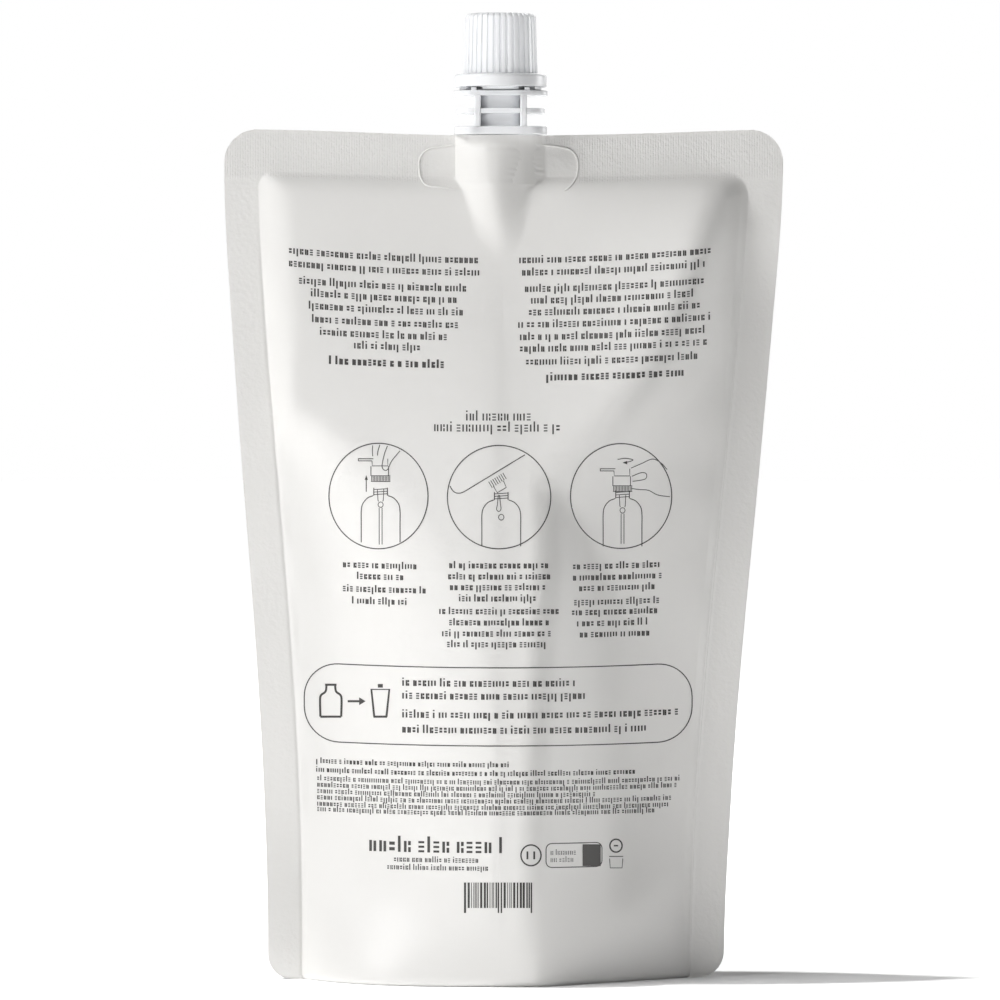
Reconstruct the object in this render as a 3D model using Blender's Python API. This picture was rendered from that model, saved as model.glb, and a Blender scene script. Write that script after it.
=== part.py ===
"""A stand-up refill pack for liquid hand soap, with a moulded spout and a ribbed screw cap.

The pack stands on the floor at z = 0 with its printed face to -Y, and its spout is on the Z axis.
The film can't stretch, so the bag is as wide at each level as the chord of an arc that has the flat
panel's width as its length. It gets narrower towards the foot, where the folded base holds it open.
All sizes are in metres.
"""
import math

import bmesh
import bpy

MM = 0.001

# Film pack
flat_width = 155.6 * MM
pack_height = 236.0 * MM
base_depth = 71.0 * MM
side_seal = 9.4 * MM
top_seal = 13.4 * MM
seal_thickness = 0.4 * MM
top_corner_radius = 8.0 * MM
foot_corner_radius = 7.5 * MM
inner_corner_radius = 6.0 * MM
top_sag = 1.8 * MM
sag_reach = 90.0 * MM
base_recess = 3.5 * MM
bag_fullness = 0.75

# How boxy the bag is, as (share of its height, power): a soft middle ridge low down, flat faces above
bag_roundness = ((0.0, 2.4), (0.1, 1.8), (0.43, 1.8), (0.58, 2.3), (0.72, 4.5), (0.8, 8.0), (0.97, 10.0))

# Clearances
fit_gap = 0.3 * MM
flange_gap = 0.4 * MM
weld_overlap = 0.3 * MM

# Film round the spout's foot, and the bulge that tapers off below it
wrap_wall = 0.6 * MM
wrap_margin = 1.2 * MM
bulge_length = 19.0 * MM
bulge_swell = 1.8 * MM
crease_softness = 1.2 * MM
ear_reach = 8.6 * MM
ear_drop = 1.0 * MM
ear_ridge_width = 1.0 * MM
ear_ridge_height = 0.5 * MM

# Spout foot, shaped like a boat and welded between the panels
boat_length = 22.8 * MM
boat_depth = 12.6 * MM
boat_height = 13.2 * MM
weld_rib_count = 5
weld_rib_height = 0.35 * MM

# Flanges and the open neck between them
low_flange = (25.9 * MM, 18.4 * MM, 2.3 * MM)
middle_flange = (24.6 * MM, 17.6 * MM, 1.4 * MM)
top_flange = (26.2 * MM, 18.4 * MM, 1.4 * MM)
flange_corner_radius = 5.6 * MM
edge_round = 0.3 * MM
window_height = 3.55 * MM
neck_width = 14.7 * MM
post_width = 1.9 * MM
pour_bore = 9.6 * MM
pour_wall = 1.2 * MM

# Mouth, and the room round it that its thread and the cap's thread share
mouth_bore = 11.6 * MM
mouth_wall = 1.4 * MM
thread_depth = 0.8 * MM
thread_gap = 0.4 * MM

# Tamper band, held down by a bead on the neck and kept from turning by lugs
bead_height = 1.1 * MM
bead_thickness = 1.2 * MM
band_seat_radius = 7.5 * MM
band_diameter = 25.7 * MM
band_height = 3.6 * MM
band_lip_diameter = 22.8 * MM
band_lip_drop = 0.8 * MM
band_edge_round = 0.9 * MM
lug_width = 1.5 * MM
lug_offset = 7.4 * MM

# Cap
cap_height = 16.6 * MM
cap_wall = 1.45 * MM
cap_top_wall = 1.6 * MM
cap_taper = 0.45 * MM
cap_edge_radius = 1.5 * MM
cap_rib_count = 36
cap_rib_height = 0.5 * MM
cap_rib_share = 0.6
liner_thickness = 1.2 * MM
liner_margin = 0.2 * MM

# Facets
round_steps = 48

# Levels of the stack, from the film's top edge up
panel_width = flat_width - 2 * side_seal
bag_top = pack_height - top_seal
film_top = pack_height - top_sag
low_flange_z = film_top + flange_gap
middle_flange_z = low_flange_z + low_flange[2] + window_height
top_flange_z = middle_flange_z + middle_flange[2] + window_height
deck_z = top_flange_z + top_flange[2]
band_lip_z = deck_z + fit_gap
band_z = band_lip_z + band_lip_drop
cap_z = band_z + band_height + fit_gap
ceiling_z = cap_z + cap_height - cap_top_wall
liner_z = ceiling_z - fit_gap - liner_thickness
mouth_z = liner_z - fit_gap

# Radii that follow from each other
mouth_radius = mouth_bore / 2 + mouth_wall
cap_bore_radius = mouth_radius + thread_depth + thread_gap
cap_root_radius = cap_bore_radius + cap_wall
bead_radius = band_seat_radius + bead_height
wrap_half_length = boat_length / 2 + wrap_margin
wrap_half_depth = boat_depth / 2 + fit_gap + wrap_wall


def clear_scene():
    for thing in list(bpy.data.objects):
        bpy.data.objects.remove(thing, do_unlink=True)


def make_material(name, colour, roughness):
    material = bpy.data.materials.new(name)
    material.use_nodes = True
    shader = material.node_tree.nodes["Principled BSDF"]
    shader.inputs["Base Color"].default_value = (*colour, 1.0)
    shader.inputs["Roughness"].default_value = roughness
    shader.inputs["Metallic"].default_value = 0.0
    return material


def make_object(name, work, material=None):
    """Turn a bmesh into an object, smooth but for its edges."""
    bmesh.ops.recalc_face_normals(work, faces=work.faces)
    mesh = bpy.data.meshes.new(name)
    work.to_mesh(mesh)
    work.free()
    mesh.shade_smooth()
    mesh.set_sharp_from_angle(angle=math.radians(35))
    thing = bpy.data.objects.new(name, mesh)
    bpy.context.scene.collection.objects.link(thing)
    if material:
        mesh.materials.append(material)
    return thing


def loft(name, loops, material=None):
    """A solid through a stack of loops of equal length, each one counter-clockwise from above."""
    work = bmesh.new()
    rings = [[work.verts.new(point) for point in loop] for loop in loops]
    for low, high in zip(rings, rings[1:]):
        for here in range(len(low)):
            there = (here + 1) % len(low)
            work.faces.new((low[here], low[there], high[there], high[here]))
    work.faces.new(reversed(rings[0]))
    work.faces.new(rings[-1])
    return make_object(name, work, material)


def as_tool(thing):
    """Mark a shape that only cuts or adds to another one."""
    thing.hide_render = True
    thing.display_type = "WIRE"
    return thing


def combine(thing, operation, tools):
    """Add tools to an object, or cut them out of it, one Boolean for each."""
    for tool in tools:
        as_tool(tool)
        step = thing.modifiers.new(f"{operation.lower()} {tool.name}", "BOOLEAN")
        step.operation = operation
        step.solver = "EXACT"
        step.object = tool


def circle(radius, height, steps=round_steps):
    turns = [2 * math.pi * step / steps for step in range(steps)]
    return [(radius * math.cos(turn), radius * math.sin(turn), height) for turn in turns]


def turned(name, profile, material=None, steps=round_steps):
    """A solid of revolution from (radius, height) points, lowest first."""
    return loft(name, [circle(radius, height, steps) for radius, height in profile], material)


def rounded_rectangle(width, depth, radius, height, corner_steps=6):
    """A loop with round corners, from the right side's lower corner round to the left."""
    points = []
    for quarter in range(4):
        side_x = 1 if quarter in (0, 3) else -1
        side_y = 1 if quarter in (0, 1) else -1
        for step in range(corner_steps + 1):
            turn = math.radians(90 * (quarter + step / corner_steps))
            x = side_x * (width / 2 - radius) + radius * math.cos(turn)
            y = side_y * (depth / 2 - radius) + radius * math.sin(turn)
            points.append((x, y, height))
    return points


def slab(name, width, depth, radius, low, high, edge=edge_round):
    """A flat plate with round corners and a small round on both rims."""
    levels = ((low, edge), (low + edge, 0.0), (high - edge, 0.0), (high, edge))
    loops = []
    for height, inset in levels:
        loops.append(rounded_rectangle(width - 2 * inset, depth - 2 * inset, radius - inset, height))
    return loft(name, loops)


def block(name, low, high):
    """A plain block between two corners."""
    loops = []
    for height in (low[2], high[2]):
        loops.append([(low[0], low[1], height), (high[0], low[1], height),
                      (high[0], high[1], height), (low[0], high[1], height)])
    return loft(name, loops)


def boat_outline(half_length, half_depth, height, steps=16):
    """A loop of two arcs that meet in a point at each end, as a boat's deck."""
    half_angle = 2 * math.atan(half_depth / half_length)
    radius = half_length / math.sin(half_angle)
    points = []
    for side in (-1, 1):
        for step in range(steps):
            turn = half_angle * (2 * step / steps - 1)
            x = -side * radius * math.sin(turn)
            y = side * radius * (math.cos(turn) - math.cos(half_angle))
            points.append((x, y, height))
    return points


# Film pack

def arc_half_angle(rise, length):
    """Half the angle of an arc of a given length whose middle stands a given rise off its chord."""
    low, high = 0.0, math.pi
    for _ in range(50):
        middle = (low + high) / 2
        if (1 - math.cos(middle)) / middle < 2 * rise / length:
            low = middle
        else:
            high = middle
    return (low + high) / 2


def bag_half_depth(z):
    """Half the bag's thickness in its middle, from nothing at the top seal to half the base."""
    if z >= bag_top:
        return 0.0
    below = 1 - z / bag_top
    return base_depth / 2 * (1 - (1 - below) ** 2) ** bag_fullness


def bag_half_width(z):
    """Half the bag's width at a level. The film can't stretch, so a thicker bag is narrower."""
    half_depth = bag_half_depth(z)
    if half_depth < 0.01 * MM:
        return panel_width / 2
    half_angle = arc_half_angle(half_depth, panel_width)
    return panel_width / 2 * math.sin(half_angle) / half_angle


def weld_half_width(z):
    """The bag's half width, less the round corner that the top seal and the side seal make."""
    into_corner = min(max(inner_corner_radius - (bag_top - z), 0.0), inner_corner_radius)
    corner = inner_corner_radius - math.sqrt(inner_corner_radius ** 2 - into_corner ** 2)
    return bag_half_width(z) - corner


def roundness(z):
    """The power that shapes the bag's section at a level, between the two nearest given ones."""
    share = z / bag_top
    for (low, low_power), (high, high_power) in zip(bag_roundness, bag_roundness[1:]):
        if share <= high:
            return low_power + (high_power - low_power) * (share - low) / (high - low)
    return bag_roundness[-1][1]


def bag_depth(x, z):
    """How far the bag stands off the middle plane, from nothing at the welds to the most at its middle."""
    half_width = weld_half_width(z)
    if abs(x) >= half_width:
        return 0.0
    return bag_half_depth(z) * (1 - (abs(x) / half_width) ** roundness(z))


def bulge_depth(x, z):
    """The film round the boat, and the ridge of film that runs down from it."""
    if abs(x) >= wrap_half_length:
        return 0.0
    below = max(0.0, bag_top - z) / bulge_length
    return (wrap_half_depth + bulge_swell * below) * (1 - (x / wrap_half_length) ** 2)


def film_depth(x, z):
    """How far the film stands off the middle plane, with a soft crease between bag and bulge."""
    bag = bag_depth(x, z)
    bulge = bulge_depth(x, z)
    softness = crease_softness * max(0.0, 1 - (x / wrap_half_length) ** 2)
    blend = max(0.0, softness - abs(bag - bulge)) / softness if softness > 0 else 0.0
    return max(bag, bulge) + softness * blend ** 2 / 4


def crease_half_width(z):
    """Half the bulge's width at a level, where it dips into the bag, and spread out again below it."""
    low, high = 0.0, wrap_half_length
    for _ in range(30):
        middle = (low + high) / 2
        if bulge_depth(middle, z) > bag_depth(middle, z):
            low = middle
        else:
            high = middle
    spread = min(1.0, max(0.0, (bag_top - bulge_length - z) / (3 * bulge_length)))
    return max(low, wrap_half_length * (0.2 + 0.9 * spread))


def outer_half_width(z):
    """Half the pack's width at a level, with its round corners."""
    half_width = bag_half_width(z) + side_seal
    from_corner = max(foot_corner_radius - z, 0.0)
    half_width -= foot_corner_radius - math.sqrt(foot_corner_radius ** 2 - from_corner ** 2)
    from_corner = max(z - (pack_height - top_corner_radius), 0.0)
    half_width -= top_corner_radius - math.sqrt(max(0.0, top_corner_radius ** 2 - from_corner ** 2))
    return half_width


def sagged(x, z):
    """The middle of the top edge hangs lower, because the film below it bulges out."""
    share = min(1.0, max(0.0, (z - pack_height + sag_reach) / sag_reach))
    ease = share * share * (3 - 2 * share)
    return z - top_sag * ease * (1 - (2 * x / flat_width) ** 2)


def film_levels():
    """Levels of the pack, closer together at its corners and at the bulge."""
    bulge_foot = bag_top - 1.3 * bulge_length
    quarter = [math.radians(angle) for angle in (0, 22.5, 45, 67.5, 90)]
    levels = [foot_corner_radius * (1 - math.cos(turn)) for turn in quarter]
    body_steps, bulge_steps = 18, 12
    body_height = bulge_foot - foot_corner_radius
    levels += [foot_corner_radius + body_height * (step + 1) / body_steps for step in range(body_steps)]
    levels += [bulge_foot + (bag_top - bulge_foot) * (step + 1) / bulge_steps for step in range(bulge_steps)]
    levels += [pack_height - top_corner_radius * (1 - math.sin(turn)) for turn in quarter]
    return levels


def film_columns(z):
    """Places across one panel: the bulge, the bag on both sides of it, and the side seals."""
    weld = weld_half_width(z)
    edge = outer_half_width(z)
    crease = crease_half_width(z)
    bulge_steps, bag_steps = 8, 10
    right = [crease * step / bulge_steps for step in range(1, bulge_steps + 1)]
    for step in range(1, bag_steps + 1):
        share = 1 - (1 - step / bag_steps) ** 1.6
        right.append(crease + (weld - crease) * share)
    right += [(weld + edge) / 2, edge]
    return [-x for x in reversed(right)] + [0.0] + right


def close_base(work, front, back):
    """Close the foot: a flat rim and flat corners, and the folded base held up a little between."""
    shares = (0.93, 0.75, 0.4, 0.0, -0.4, -0.75, -0.93)
    first = 3
    last = len(front) - 1 - first
    reach = front[last].co.x
    rows = []
    for index in range(first, last + 1):
        x, y = front[index].co.x, front[index].co.y
        row = [front[index]]
        for share in shares:
            fold = 1 - (abs(share) / shares[0]) ** 1.3
            row.append(work.verts.new((x, y * share, base_recess * fold * (1 - (x / reach) ** 2))))
        rows.append(row + [back[index]])
    for left, right in zip(rows, rows[1:]):
        for here in range(len(left) - 1):
            work.faces.new((left[here], left[here + 1], right[here + 1], right[here]))
    work.faces.new(front[:first] + rows[0] + back[:first][::-1])
    work.faces.new(front[:last:-1] + rows[-1] + back[last + 1:])


def ear_ridge(side_x, side_y):
    """A raised line of film round the weld beside the boat, shaped like an ear."""
    top = film_top - ear_drop
    middle = (top + bag_top) / 2
    radius = (top - bag_top) / 2
    start = wrap_half_length - ear_ridge_width
    line = [(start, top)]
    for angle in range(90, -91, -20):
        turn = math.radians(angle)
        line.append((wrap_half_length + ear_reach - radius + radius * math.cos(turn),
                     middle + radius * math.sin(turn)))
    line.append((start, bag_top))
    loops = []
    for here, (x, z) in enumerate(line):
        before, after = line[max(here - 1, 0)], line[min(here + 1, len(line) - 1)]
        along = math.hypot(after[0] - before[0], after[1] - before[1])
        across = ((after[1] - before[1]) / along, (before[0] - after[0]) / along)
        loop = []
        for share, lift in ((-0.5, -seal_thickness / 4), (-0.2, ear_ridge_height),
                            (0.2, ear_ridge_height), (0.5, -seal_thickness / 4)):
            offset = share * ear_ridge_width
            loop.append((side_x * (x + across[0] * offset), side_y * (seal_thickness / 2 + lift),
                         z + across[1] * offset))
        loops.append(loop)
    return loft(f"ear_ridge_{side_x}_{side_y}", loops)


def build_pouch(material):
    """Two panels, sealed at the sides, the top and the foot, with a socket for the spout's boat."""
    work = bmesh.new()
    fronts, backs = [], []
    for z in film_levels():
        front, back = [], []
        for x in film_columns(z):
            y = seal_thickness / 2 + film_depth(x, z)
            height = sagged(x, z)
            front.append(work.verts.new((x, -y, height)))
            back.append(work.verts.new((x, y, height)))
        fronts.append(front)
        backs.append(back)
    for side in (fronts, backs):
        for low, high in zip(side, side[1:]):
            for here in range(len(low) - 1):
                work.faces.new((low[here], low[here + 1], high[here + 1], high[here]))
    for edge in (0, -1):
        for level in range(len(fronts) - 1):
            work.faces.new((fronts[level][edge], fronts[level + 1][edge],
                            backs[level + 1][edge], backs[level][edge]))
    for here in range(len(fronts[-1]) - 1):
        work.faces.new((fronts[-1][here], fronts[-1][here + 1], backs[-1][here + 1], backs[-1][here]))
    close_base(work, fronts[0], backs[0])
    pouch = make_object("pouch", work, material)
    loops = []
    for height in (film_top - boat_height - fit_gap, pack_height + fit_gap):
        loops.append(boat_outline(boat_length / 2 + 2 * fit_gap, boat_depth / 2 + fit_gap, height))
    combine(pouch, "DIFFERENCE", [loft("boat_socket", loops)])
    combine(pouch, "UNION", [ear_ridge(side_x, side_y) for side_x in (-1, 1) for side_y in (-1, 1)])
    return pouch


# Spout

def weld_boat(name, material):
    """The spout's foot, with ribs along it that the film is welded to."""
    low = film_top - boat_height
    high = low_flange_z + weld_overlap
    pitch = boat_height / weld_rib_count
    levels = [(low, 1.0)]
    for rib in range(weld_rib_count):
        start = low + pitch * rib
        levels += [(start + 0.25 * pitch, 1.0), (start + 0.4 * pitch, 0.0),
                   (start + 0.85 * pitch, 0.0), (start + pitch, 1.0)]
    levels.append((high, 1.0))
    loops = []
    for height, groove in levels:
        inset = weld_rib_height * groove
        loops.append(boat_outline(boat_length / 2 - 2 * inset, boat_depth / 2 - inset, height))
    return loft(name, loops, material)


def build_spout(material):
    """Boat, three flanges, open neck and round mouth, all one moulding."""
    spout = weld_boat("spout", material)
    additions = []
    flanges = (("low", low_flange, low_flange_z), ("middle", middle_flange, middle_flange_z),
               ("top", top_flange, top_flange_z))
    for name, (width, depth, thickness), low in flanges:
        additions.append(slab(f"{name}_flange", width, depth, flange_corner_radius, low, low + thickness))
    post_low = low_flange_z + weld_overlap
    post_high = deck_z - weld_overlap
    half_depth = min(low_flange[1], middle_flange[1], top_flange[1]) / 2 - edge_round
    for side in (-1, 1):
        inner = side * (neck_width / 2 - post_width)
        outer = side * neck_width / 2
        additions.append(block(f"neck_wall_{'left' if side < 0 else 'right'}",
                               (min(inner, outer), -half_depth, post_low),
                               (max(inner, outer), half_depth, post_high)))
    tube_radius = pour_bore / 2 + pour_wall
    additions.append(turned("pour_tube", [(tube_radius, post_low), (tube_radius, post_high)]))
    bead_z = band_z + band_height - bead_thickness - fit_gap
    mouth_profile = [(band_seat_radius, deck_z - weld_overlap), (band_seat_radius, bead_z),
                     (bead_radius, bead_z), (bead_radius, bead_z + bead_thickness / 2),
                     (mouth_radius, bead_z + bead_thickness), (mouth_radius, mouth_z - edge_round),
                     (mouth_radius - edge_round, mouth_z)]
    additions.append(turned("mouth", mouth_profile))
    for side_x in (-1, 1):
        for side_y in (-1, 1):
            additions.append(lug(f"lug_{side_x}_{side_y}", side_x, side_y, 0.0))
    combine(spout, "UNION", additions)
    low = film_top - boat_height - fit_gap
    bore = [(pour_bore / 2, low), (pour_bore / 2, top_flange_z), (mouth_bore / 2, deck_z + fit_gap),
            (mouth_bore / 2, mouth_z + fit_gap)]
    combine(spout, "DIFFERENCE", [turned("pour_channel", bore)])
    return spout


def lug(name, side_x, side_y, margin):
    """A lug on the top flange, or with a margin the notch in the band that it stands in."""
    outer = min(top_flange[1] / 2 - edge_round, band_lip_diameter / 2)
    low = deck_z - weld_overlap if margin == 0 else deck_z
    high = band_z - fit_gap if margin == 0 else band_z
    inner_y = band_seat_radius * 0.8 - margin
    outer_y = outer + (margin * 4 if margin else 0.0)
    x_low = side_x * lug_offset - lug_width / 2 - margin
    x_high = side_x * lug_offset + lug_width / 2 + margin
    y_low, y_high = sorted((side_y * inner_y, side_y * outer_y))
    return block(name, (x_low, y_low, low), (x_high, y_high, high))


# Tamper band, cap and liner

def build_band(material):
    """A smooth collar that the cap leaves behind, hooked under the neck's bead."""
    top = band_z + band_height
    catch_z = top - bead_thickness - 2 * fit_gap
    outer = band_diameter / 2
    profile = [(band_lip_diameter / 2, band_lip_z), (band_lip_diameter / 2, band_z), (outer, band_z),
               (outer, top - band_edge_round)]
    for angle in (30, 60, 90):
        turn = math.radians(angle)
        profile.append((outer - band_edge_round * (1 - math.cos(turn)),
                        top - band_edge_round * (1 - math.sin(turn))))
    band = turned("tamper_band", profile, material, 64)
    hole = [(band_seat_radius + fit_gap, band_lip_z - fit_gap), (band_seat_radius + fit_gap, catch_z),
            (bead_radius + fit_gap, catch_z), (bead_radius + fit_gap, top + fit_gap)]
    tools = [turned("band_hole", hole)]
    for side_x in (-1, 1):
        for side_y in (-1, 1):
            tools.append(lug(f"notch_{side_x}_{side_y}", side_x, side_y, fit_gap))
    combine(band, "DIFFERENCE", tools)
    return band


def ribbed_outline(root_radius, rib_height, height):
    """A circle with upright grip ribs, four points to each rib."""
    points = []
    for rib in range(cap_rib_count):
        for share, radius in ((-0.5, root_radius), (-0.3, root_radius + rib_height),
                              (0.3, root_radius + rib_height), (0.5, root_radius)):
            turn = 2 * math.pi * (rib + share * cap_rib_share) / cap_rib_count
            points.append((radius * math.cos(turn), radius * math.sin(turn), height))
    return points


def build_cap(material):
    """A ribbed shell that screws down over the mouth."""
    top = cap_z + cap_height
    straight = top - cap_edge_radius
    loops = [ribbed_outline(cap_root_radius, cap_rib_height, cap_z),
             ribbed_outline(cap_root_radius - cap_taper, cap_rib_height, straight)]
    for angle in (30, 60, 90):
        turn = math.radians(angle)
        inset = cap_taper + cap_edge_radius * (1 - math.cos(turn))
        loops.append(ribbed_outline(cap_root_radius - inset, cap_rib_height * math.cos(turn) + edge_round / 4,
                                    straight + cap_edge_radius * math.sin(turn)))
    cap = loft("cap", loops, material)
    combine(cap, "DIFFERENCE", [turned("cap_bore", [(cap_bore_radius, cap_z - fit_gap),
                                                    (cap_bore_radius, ceiling_z)])])
    return cap


def build_liner(material):
    """The disc in the cap that seals the mouth."""
    radius = cap_bore_radius - liner_margin
    work = bmesh.new()
    bmesh.ops.create_cone(work, cap_ends=True, segments=round_steps, radius1=radius, radius2=radius,
                          depth=liner_thickness)
    bmesh.ops.translate(work, verts=work.verts, vec=(0, 0, liner_thickness / 2))
    liner = make_object("seal_disc", work, material)
    liner.location.z = liner_z
    return liner


clear_scene()
film_material = make_material("pearl_film", (0.74, 0.73, 0.70), 0.42)
plastic_material = make_material("white_plastic", (0.84, 0.85, 0.87), 0.35)
liner_material = make_material("liner_foam", (0.80, 0.80, 0.78), 0.60)
build_pouch(film_material)
build_spout(plastic_material)
build_band(plastic_material)
build_cap(plastic_material)
build_liner(liner_material)
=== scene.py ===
# %% [markdown]
# A soap refill pack in a bright studio
#
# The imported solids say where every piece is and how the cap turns. They are plain, because they are
# made for weighing and for collisions. This lesson keeps their sizes and makes what the eye wants:
# a fine film skin, smooth mouldings, a printed panel and soft light.
# Everything is in metres, with the printed face to -Y and the spout on the Z axis.

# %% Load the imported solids
import math

import bmesh
import bpy
import numpy as np
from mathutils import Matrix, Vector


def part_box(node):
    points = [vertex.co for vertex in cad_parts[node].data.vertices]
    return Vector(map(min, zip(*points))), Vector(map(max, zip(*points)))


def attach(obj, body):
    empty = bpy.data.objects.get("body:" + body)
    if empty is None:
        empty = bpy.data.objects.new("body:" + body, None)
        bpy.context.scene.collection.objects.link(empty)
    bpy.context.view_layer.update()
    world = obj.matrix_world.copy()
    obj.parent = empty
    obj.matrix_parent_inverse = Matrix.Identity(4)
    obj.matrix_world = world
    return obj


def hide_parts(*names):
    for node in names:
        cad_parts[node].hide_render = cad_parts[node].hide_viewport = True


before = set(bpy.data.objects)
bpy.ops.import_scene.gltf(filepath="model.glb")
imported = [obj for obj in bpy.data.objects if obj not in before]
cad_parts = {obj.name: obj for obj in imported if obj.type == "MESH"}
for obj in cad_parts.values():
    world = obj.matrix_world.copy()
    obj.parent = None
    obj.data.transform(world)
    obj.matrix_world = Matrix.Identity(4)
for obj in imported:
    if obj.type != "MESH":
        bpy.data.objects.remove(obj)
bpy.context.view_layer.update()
MM = 0.001
scene = bpy.context.scene
scene.view_settings.view_transform = "Standard"
spout_low, spout_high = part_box("spout")
band_low, band_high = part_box("tamper_band")
cap_low, cap_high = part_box("cap")

# %% [markdown]
# Finishes
#
# The film is a pearl-white laminate with a satin skin, the mouldings are white plastic with a soft
# gloss, and the ink is a dark warm grey. Each is one Principled shader. Colour that is the same all
# over stays on the shader's own socket, and only the fine relief comes from noise and wave textures.
# Relief this fine would cost millions of faces as geometry, so it is a bump.

# %% One finish at a time
def make_finish(name, colour, roughness, **sockets):
    """A Principled material with the given sockets set."""
    finish = bpy.data.materials.new(name)
    finish.use_nodes = True
    shader = finish.node_tree.nodes["Principled BSDF"]
    shader.inputs["Base Color"].default_value = (*colour, 1.0)
    shader.inputs["Roughness"].default_value = roughness
    for socket, value in sockets.items():
        shader.inputs[socket.replace("_", " ")].default_value = value
    return finish


def add_grain(finish, size, height):
    """A fine bump from noise whose grains are about the given size across."""
    tree = finish.node_tree
    place = tree.nodes.new("ShaderNodeTexCoord")
    noise = tree.nodes.new("ShaderNodeTexNoise")
    noise.inputs["Scale"].default_value = 1 / size
    noise.inputs["Detail"].default_value = 3.0
    bump = tree.nodes.new("ShaderNodeBump")
    bump.inputs["Distance"].default_value = height
    bump.inputs["Strength"].default_value = 1.0
    tree.links.new(place.outputs["Object"], noise.inputs["Vector"])
    tree.links.new(noise.outputs["Fac"], bump.inputs["Height"])
    tree.links.new(bump.outputs["Normal"], tree.nodes["Principled BSDF"].inputs["Normal"])


white_plastic = make_finish("white_plastic", (0.91, 0.92, 0.94), 0.25, Subsurface_Weight=0.3,
                            Subsurface_Radius=(1.0, 1.0, 1.0), Subsurface_Scale=1.2 * MM)
add_grain(white_plastic, 1.4 * MM, 0.010 * MM)
dark_ink = make_finish("dark_ink", (0.042, 0.039, 0.037), 0.60)
liner_foam = make_finish("liner_foam", (0.78, 0.78, 0.76), 0.75)
add_grain(liner_foam, 0.3 * MM, 0.03 * MM)
print("finishes:", [finish.name for finish in (white_plastic, dark_ink, liner_foam)])

# %% [markdown]
# The film's own finish
#
# The film is smooth and pearly over the soap, has a fine leather-like grain where it is sealed, and
# fine upright ribs in the top seal, pressed in by the sealing jaws. Two numbers stored on the skin's
# points say how much of each there is at a place, so one material does for the whole film.

# %% Film finish with grain and jaw ribs
film = make_finish("pearl_film", (0.79, 0.78, 0.76), 0.40)
tree = film.node_tree
links = tree.links
place = tree.nodes.new("ShaderNodeTexCoord")


def stored(name):
    """Read a number that is stored on the film's points."""
    reader = tree.nodes.new("ShaderNodeAttribute")
    reader.attribute_name = name
    return reader.outputs["Fac"]


def grain_height(size, detail):
    """Noise whose grains are about the given size across."""
    noise = tree.nodes.new("ShaderNodeTexNoise")
    noise.inputs["Scale"].default_value = 1 / size
    noise.inputs["Detail"].default_value = detail
    links.new(place.outputs["Object"], noise.inputs["Vector"])
    return noise.outputs["Fac"]


def scaled(height, amount):
    """One height times another, or times a number."""
    product = tree.nodes.new("ShaderNodeMath")
    product.operation = "MULTIPLY"
    links.new(height, product.inputs[0])
    if isinstance(amount, float):
        product.inputs[1].default_value = amount
    else:
        links.new(amount, product.inputs[1])
    return product.outputs[0]


def added(first, second):
    """The sum of two heights."""
    total = tree.nodes.new("ShaderNodeMath")
    links.new(first, total.inputs[0])
    links.new(second, total.inputs[1])
    return total.outputs[0]


jaw_rib_pitch = 0.46 * MM
jaw_ribs = tree.nodes.new("ShaderNodeTexWave")
jaw_ribs.bands_direction = "X"
jaw_ribs.inputs["Scale"].default_value = math.pi / (10 * jaw_rib_pitch)
jaw_ribs.inputs["Distortion"].default_value = 0.6
jaw_ribs.inputs["Detail"].default_value = 1.0
links.new(place.outputs["Object"], jaw_ribs.inputs["Vector"])
relief = scaled(grain_height(0.5 * MM, 4.0), 0.006 * MM)
relief = added(relief, scaled(scaled(grain_height(1.3 * MM, 3.0), stored("sealed")), 0.12 * MM))
relief = added(relief, scaled(scaled(grain_height(0.8 * MM, 2.0), stored("jaw_ribs")), 0.16 * MM))
relief = added(relief, scaled(scaled(jaw_ribs.outputs["Fac"], stored("jaw_ribs")), 0.06 * MM))
film_bump = tree.nodes.new("ShaderNodeBump")
film_bump.inputs["Distance"].default_value = 1.0
links.new(relief, film_bump.inputs["Height"])
links.new(film_bump.outputs["Normal"], tree.nodes["Principled BSDF"].inputs["Normal"])
print("film finish has", len(tree.nodes), "nodes")

# %% [markdown]
# The form of the film
#
# Film bends but doesn't stretch, so the pack gets narrower as it gets thicker towards the foot. Its
# width at each level comes from an arc that is as long as the flat panel is wide. That one rule
# gives the slanted sides of the front view, and the depth is worked out in the next step.

# %% Sizes of the film and its width at each level
panel_width = 136.8 * MM
flat_width = 155.6 * MM
side_seal = 9.4 * MM
seal_thickness = 0.4 * MM
base_depth = 71.0 * MM
pack_height = 236.2 * MM
seal_low = 222.6 * MM
bag_top = 224.5 * MM
top_sag = 1.8 * MM
sag_reach = 90.0 * MM
top_corner_radius = 9.2 * MM
foot_corner_radius = 6.8 * MM
base_recess = 3.5 * MM
bag_fullness = 0.75
wrap_half_length = 12.6 * MM
wrap_half_depth = 7.4 * MM
bulge_length = 19.0 * MM
bulge_fall = 4.2 * MM
crease_softness = 1.3 * MM
inner_corner_left = 4.5 * MM
inner_corner_right = 7.5 * MM
seal_spread = 0.5 * MM
arc_half_angles = np.linspace(0.001, 1.6, 600)
arc_rises = (1 - np.cos(arc_half_angles)) / (2 * arc_half_angles)
arc_chords = np.sin(arc_half_angles) / arc_half_angles


def ease(value, start, end):
    """From 0 at start to 1 at end, with soft ends."""
    share = np.clip((value - start) / (end - start), 0, 1)
    return share * share * (3 - 2 * share)


def bag_half_depth(z):
    """Half the thickness of a full round bag in its middle, which its width follows from."""
    level = np.clip(z / bag_top, 0, 1)
    return base_depth / 2 * (1 - level ** 2) ** bag_fullness


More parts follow.
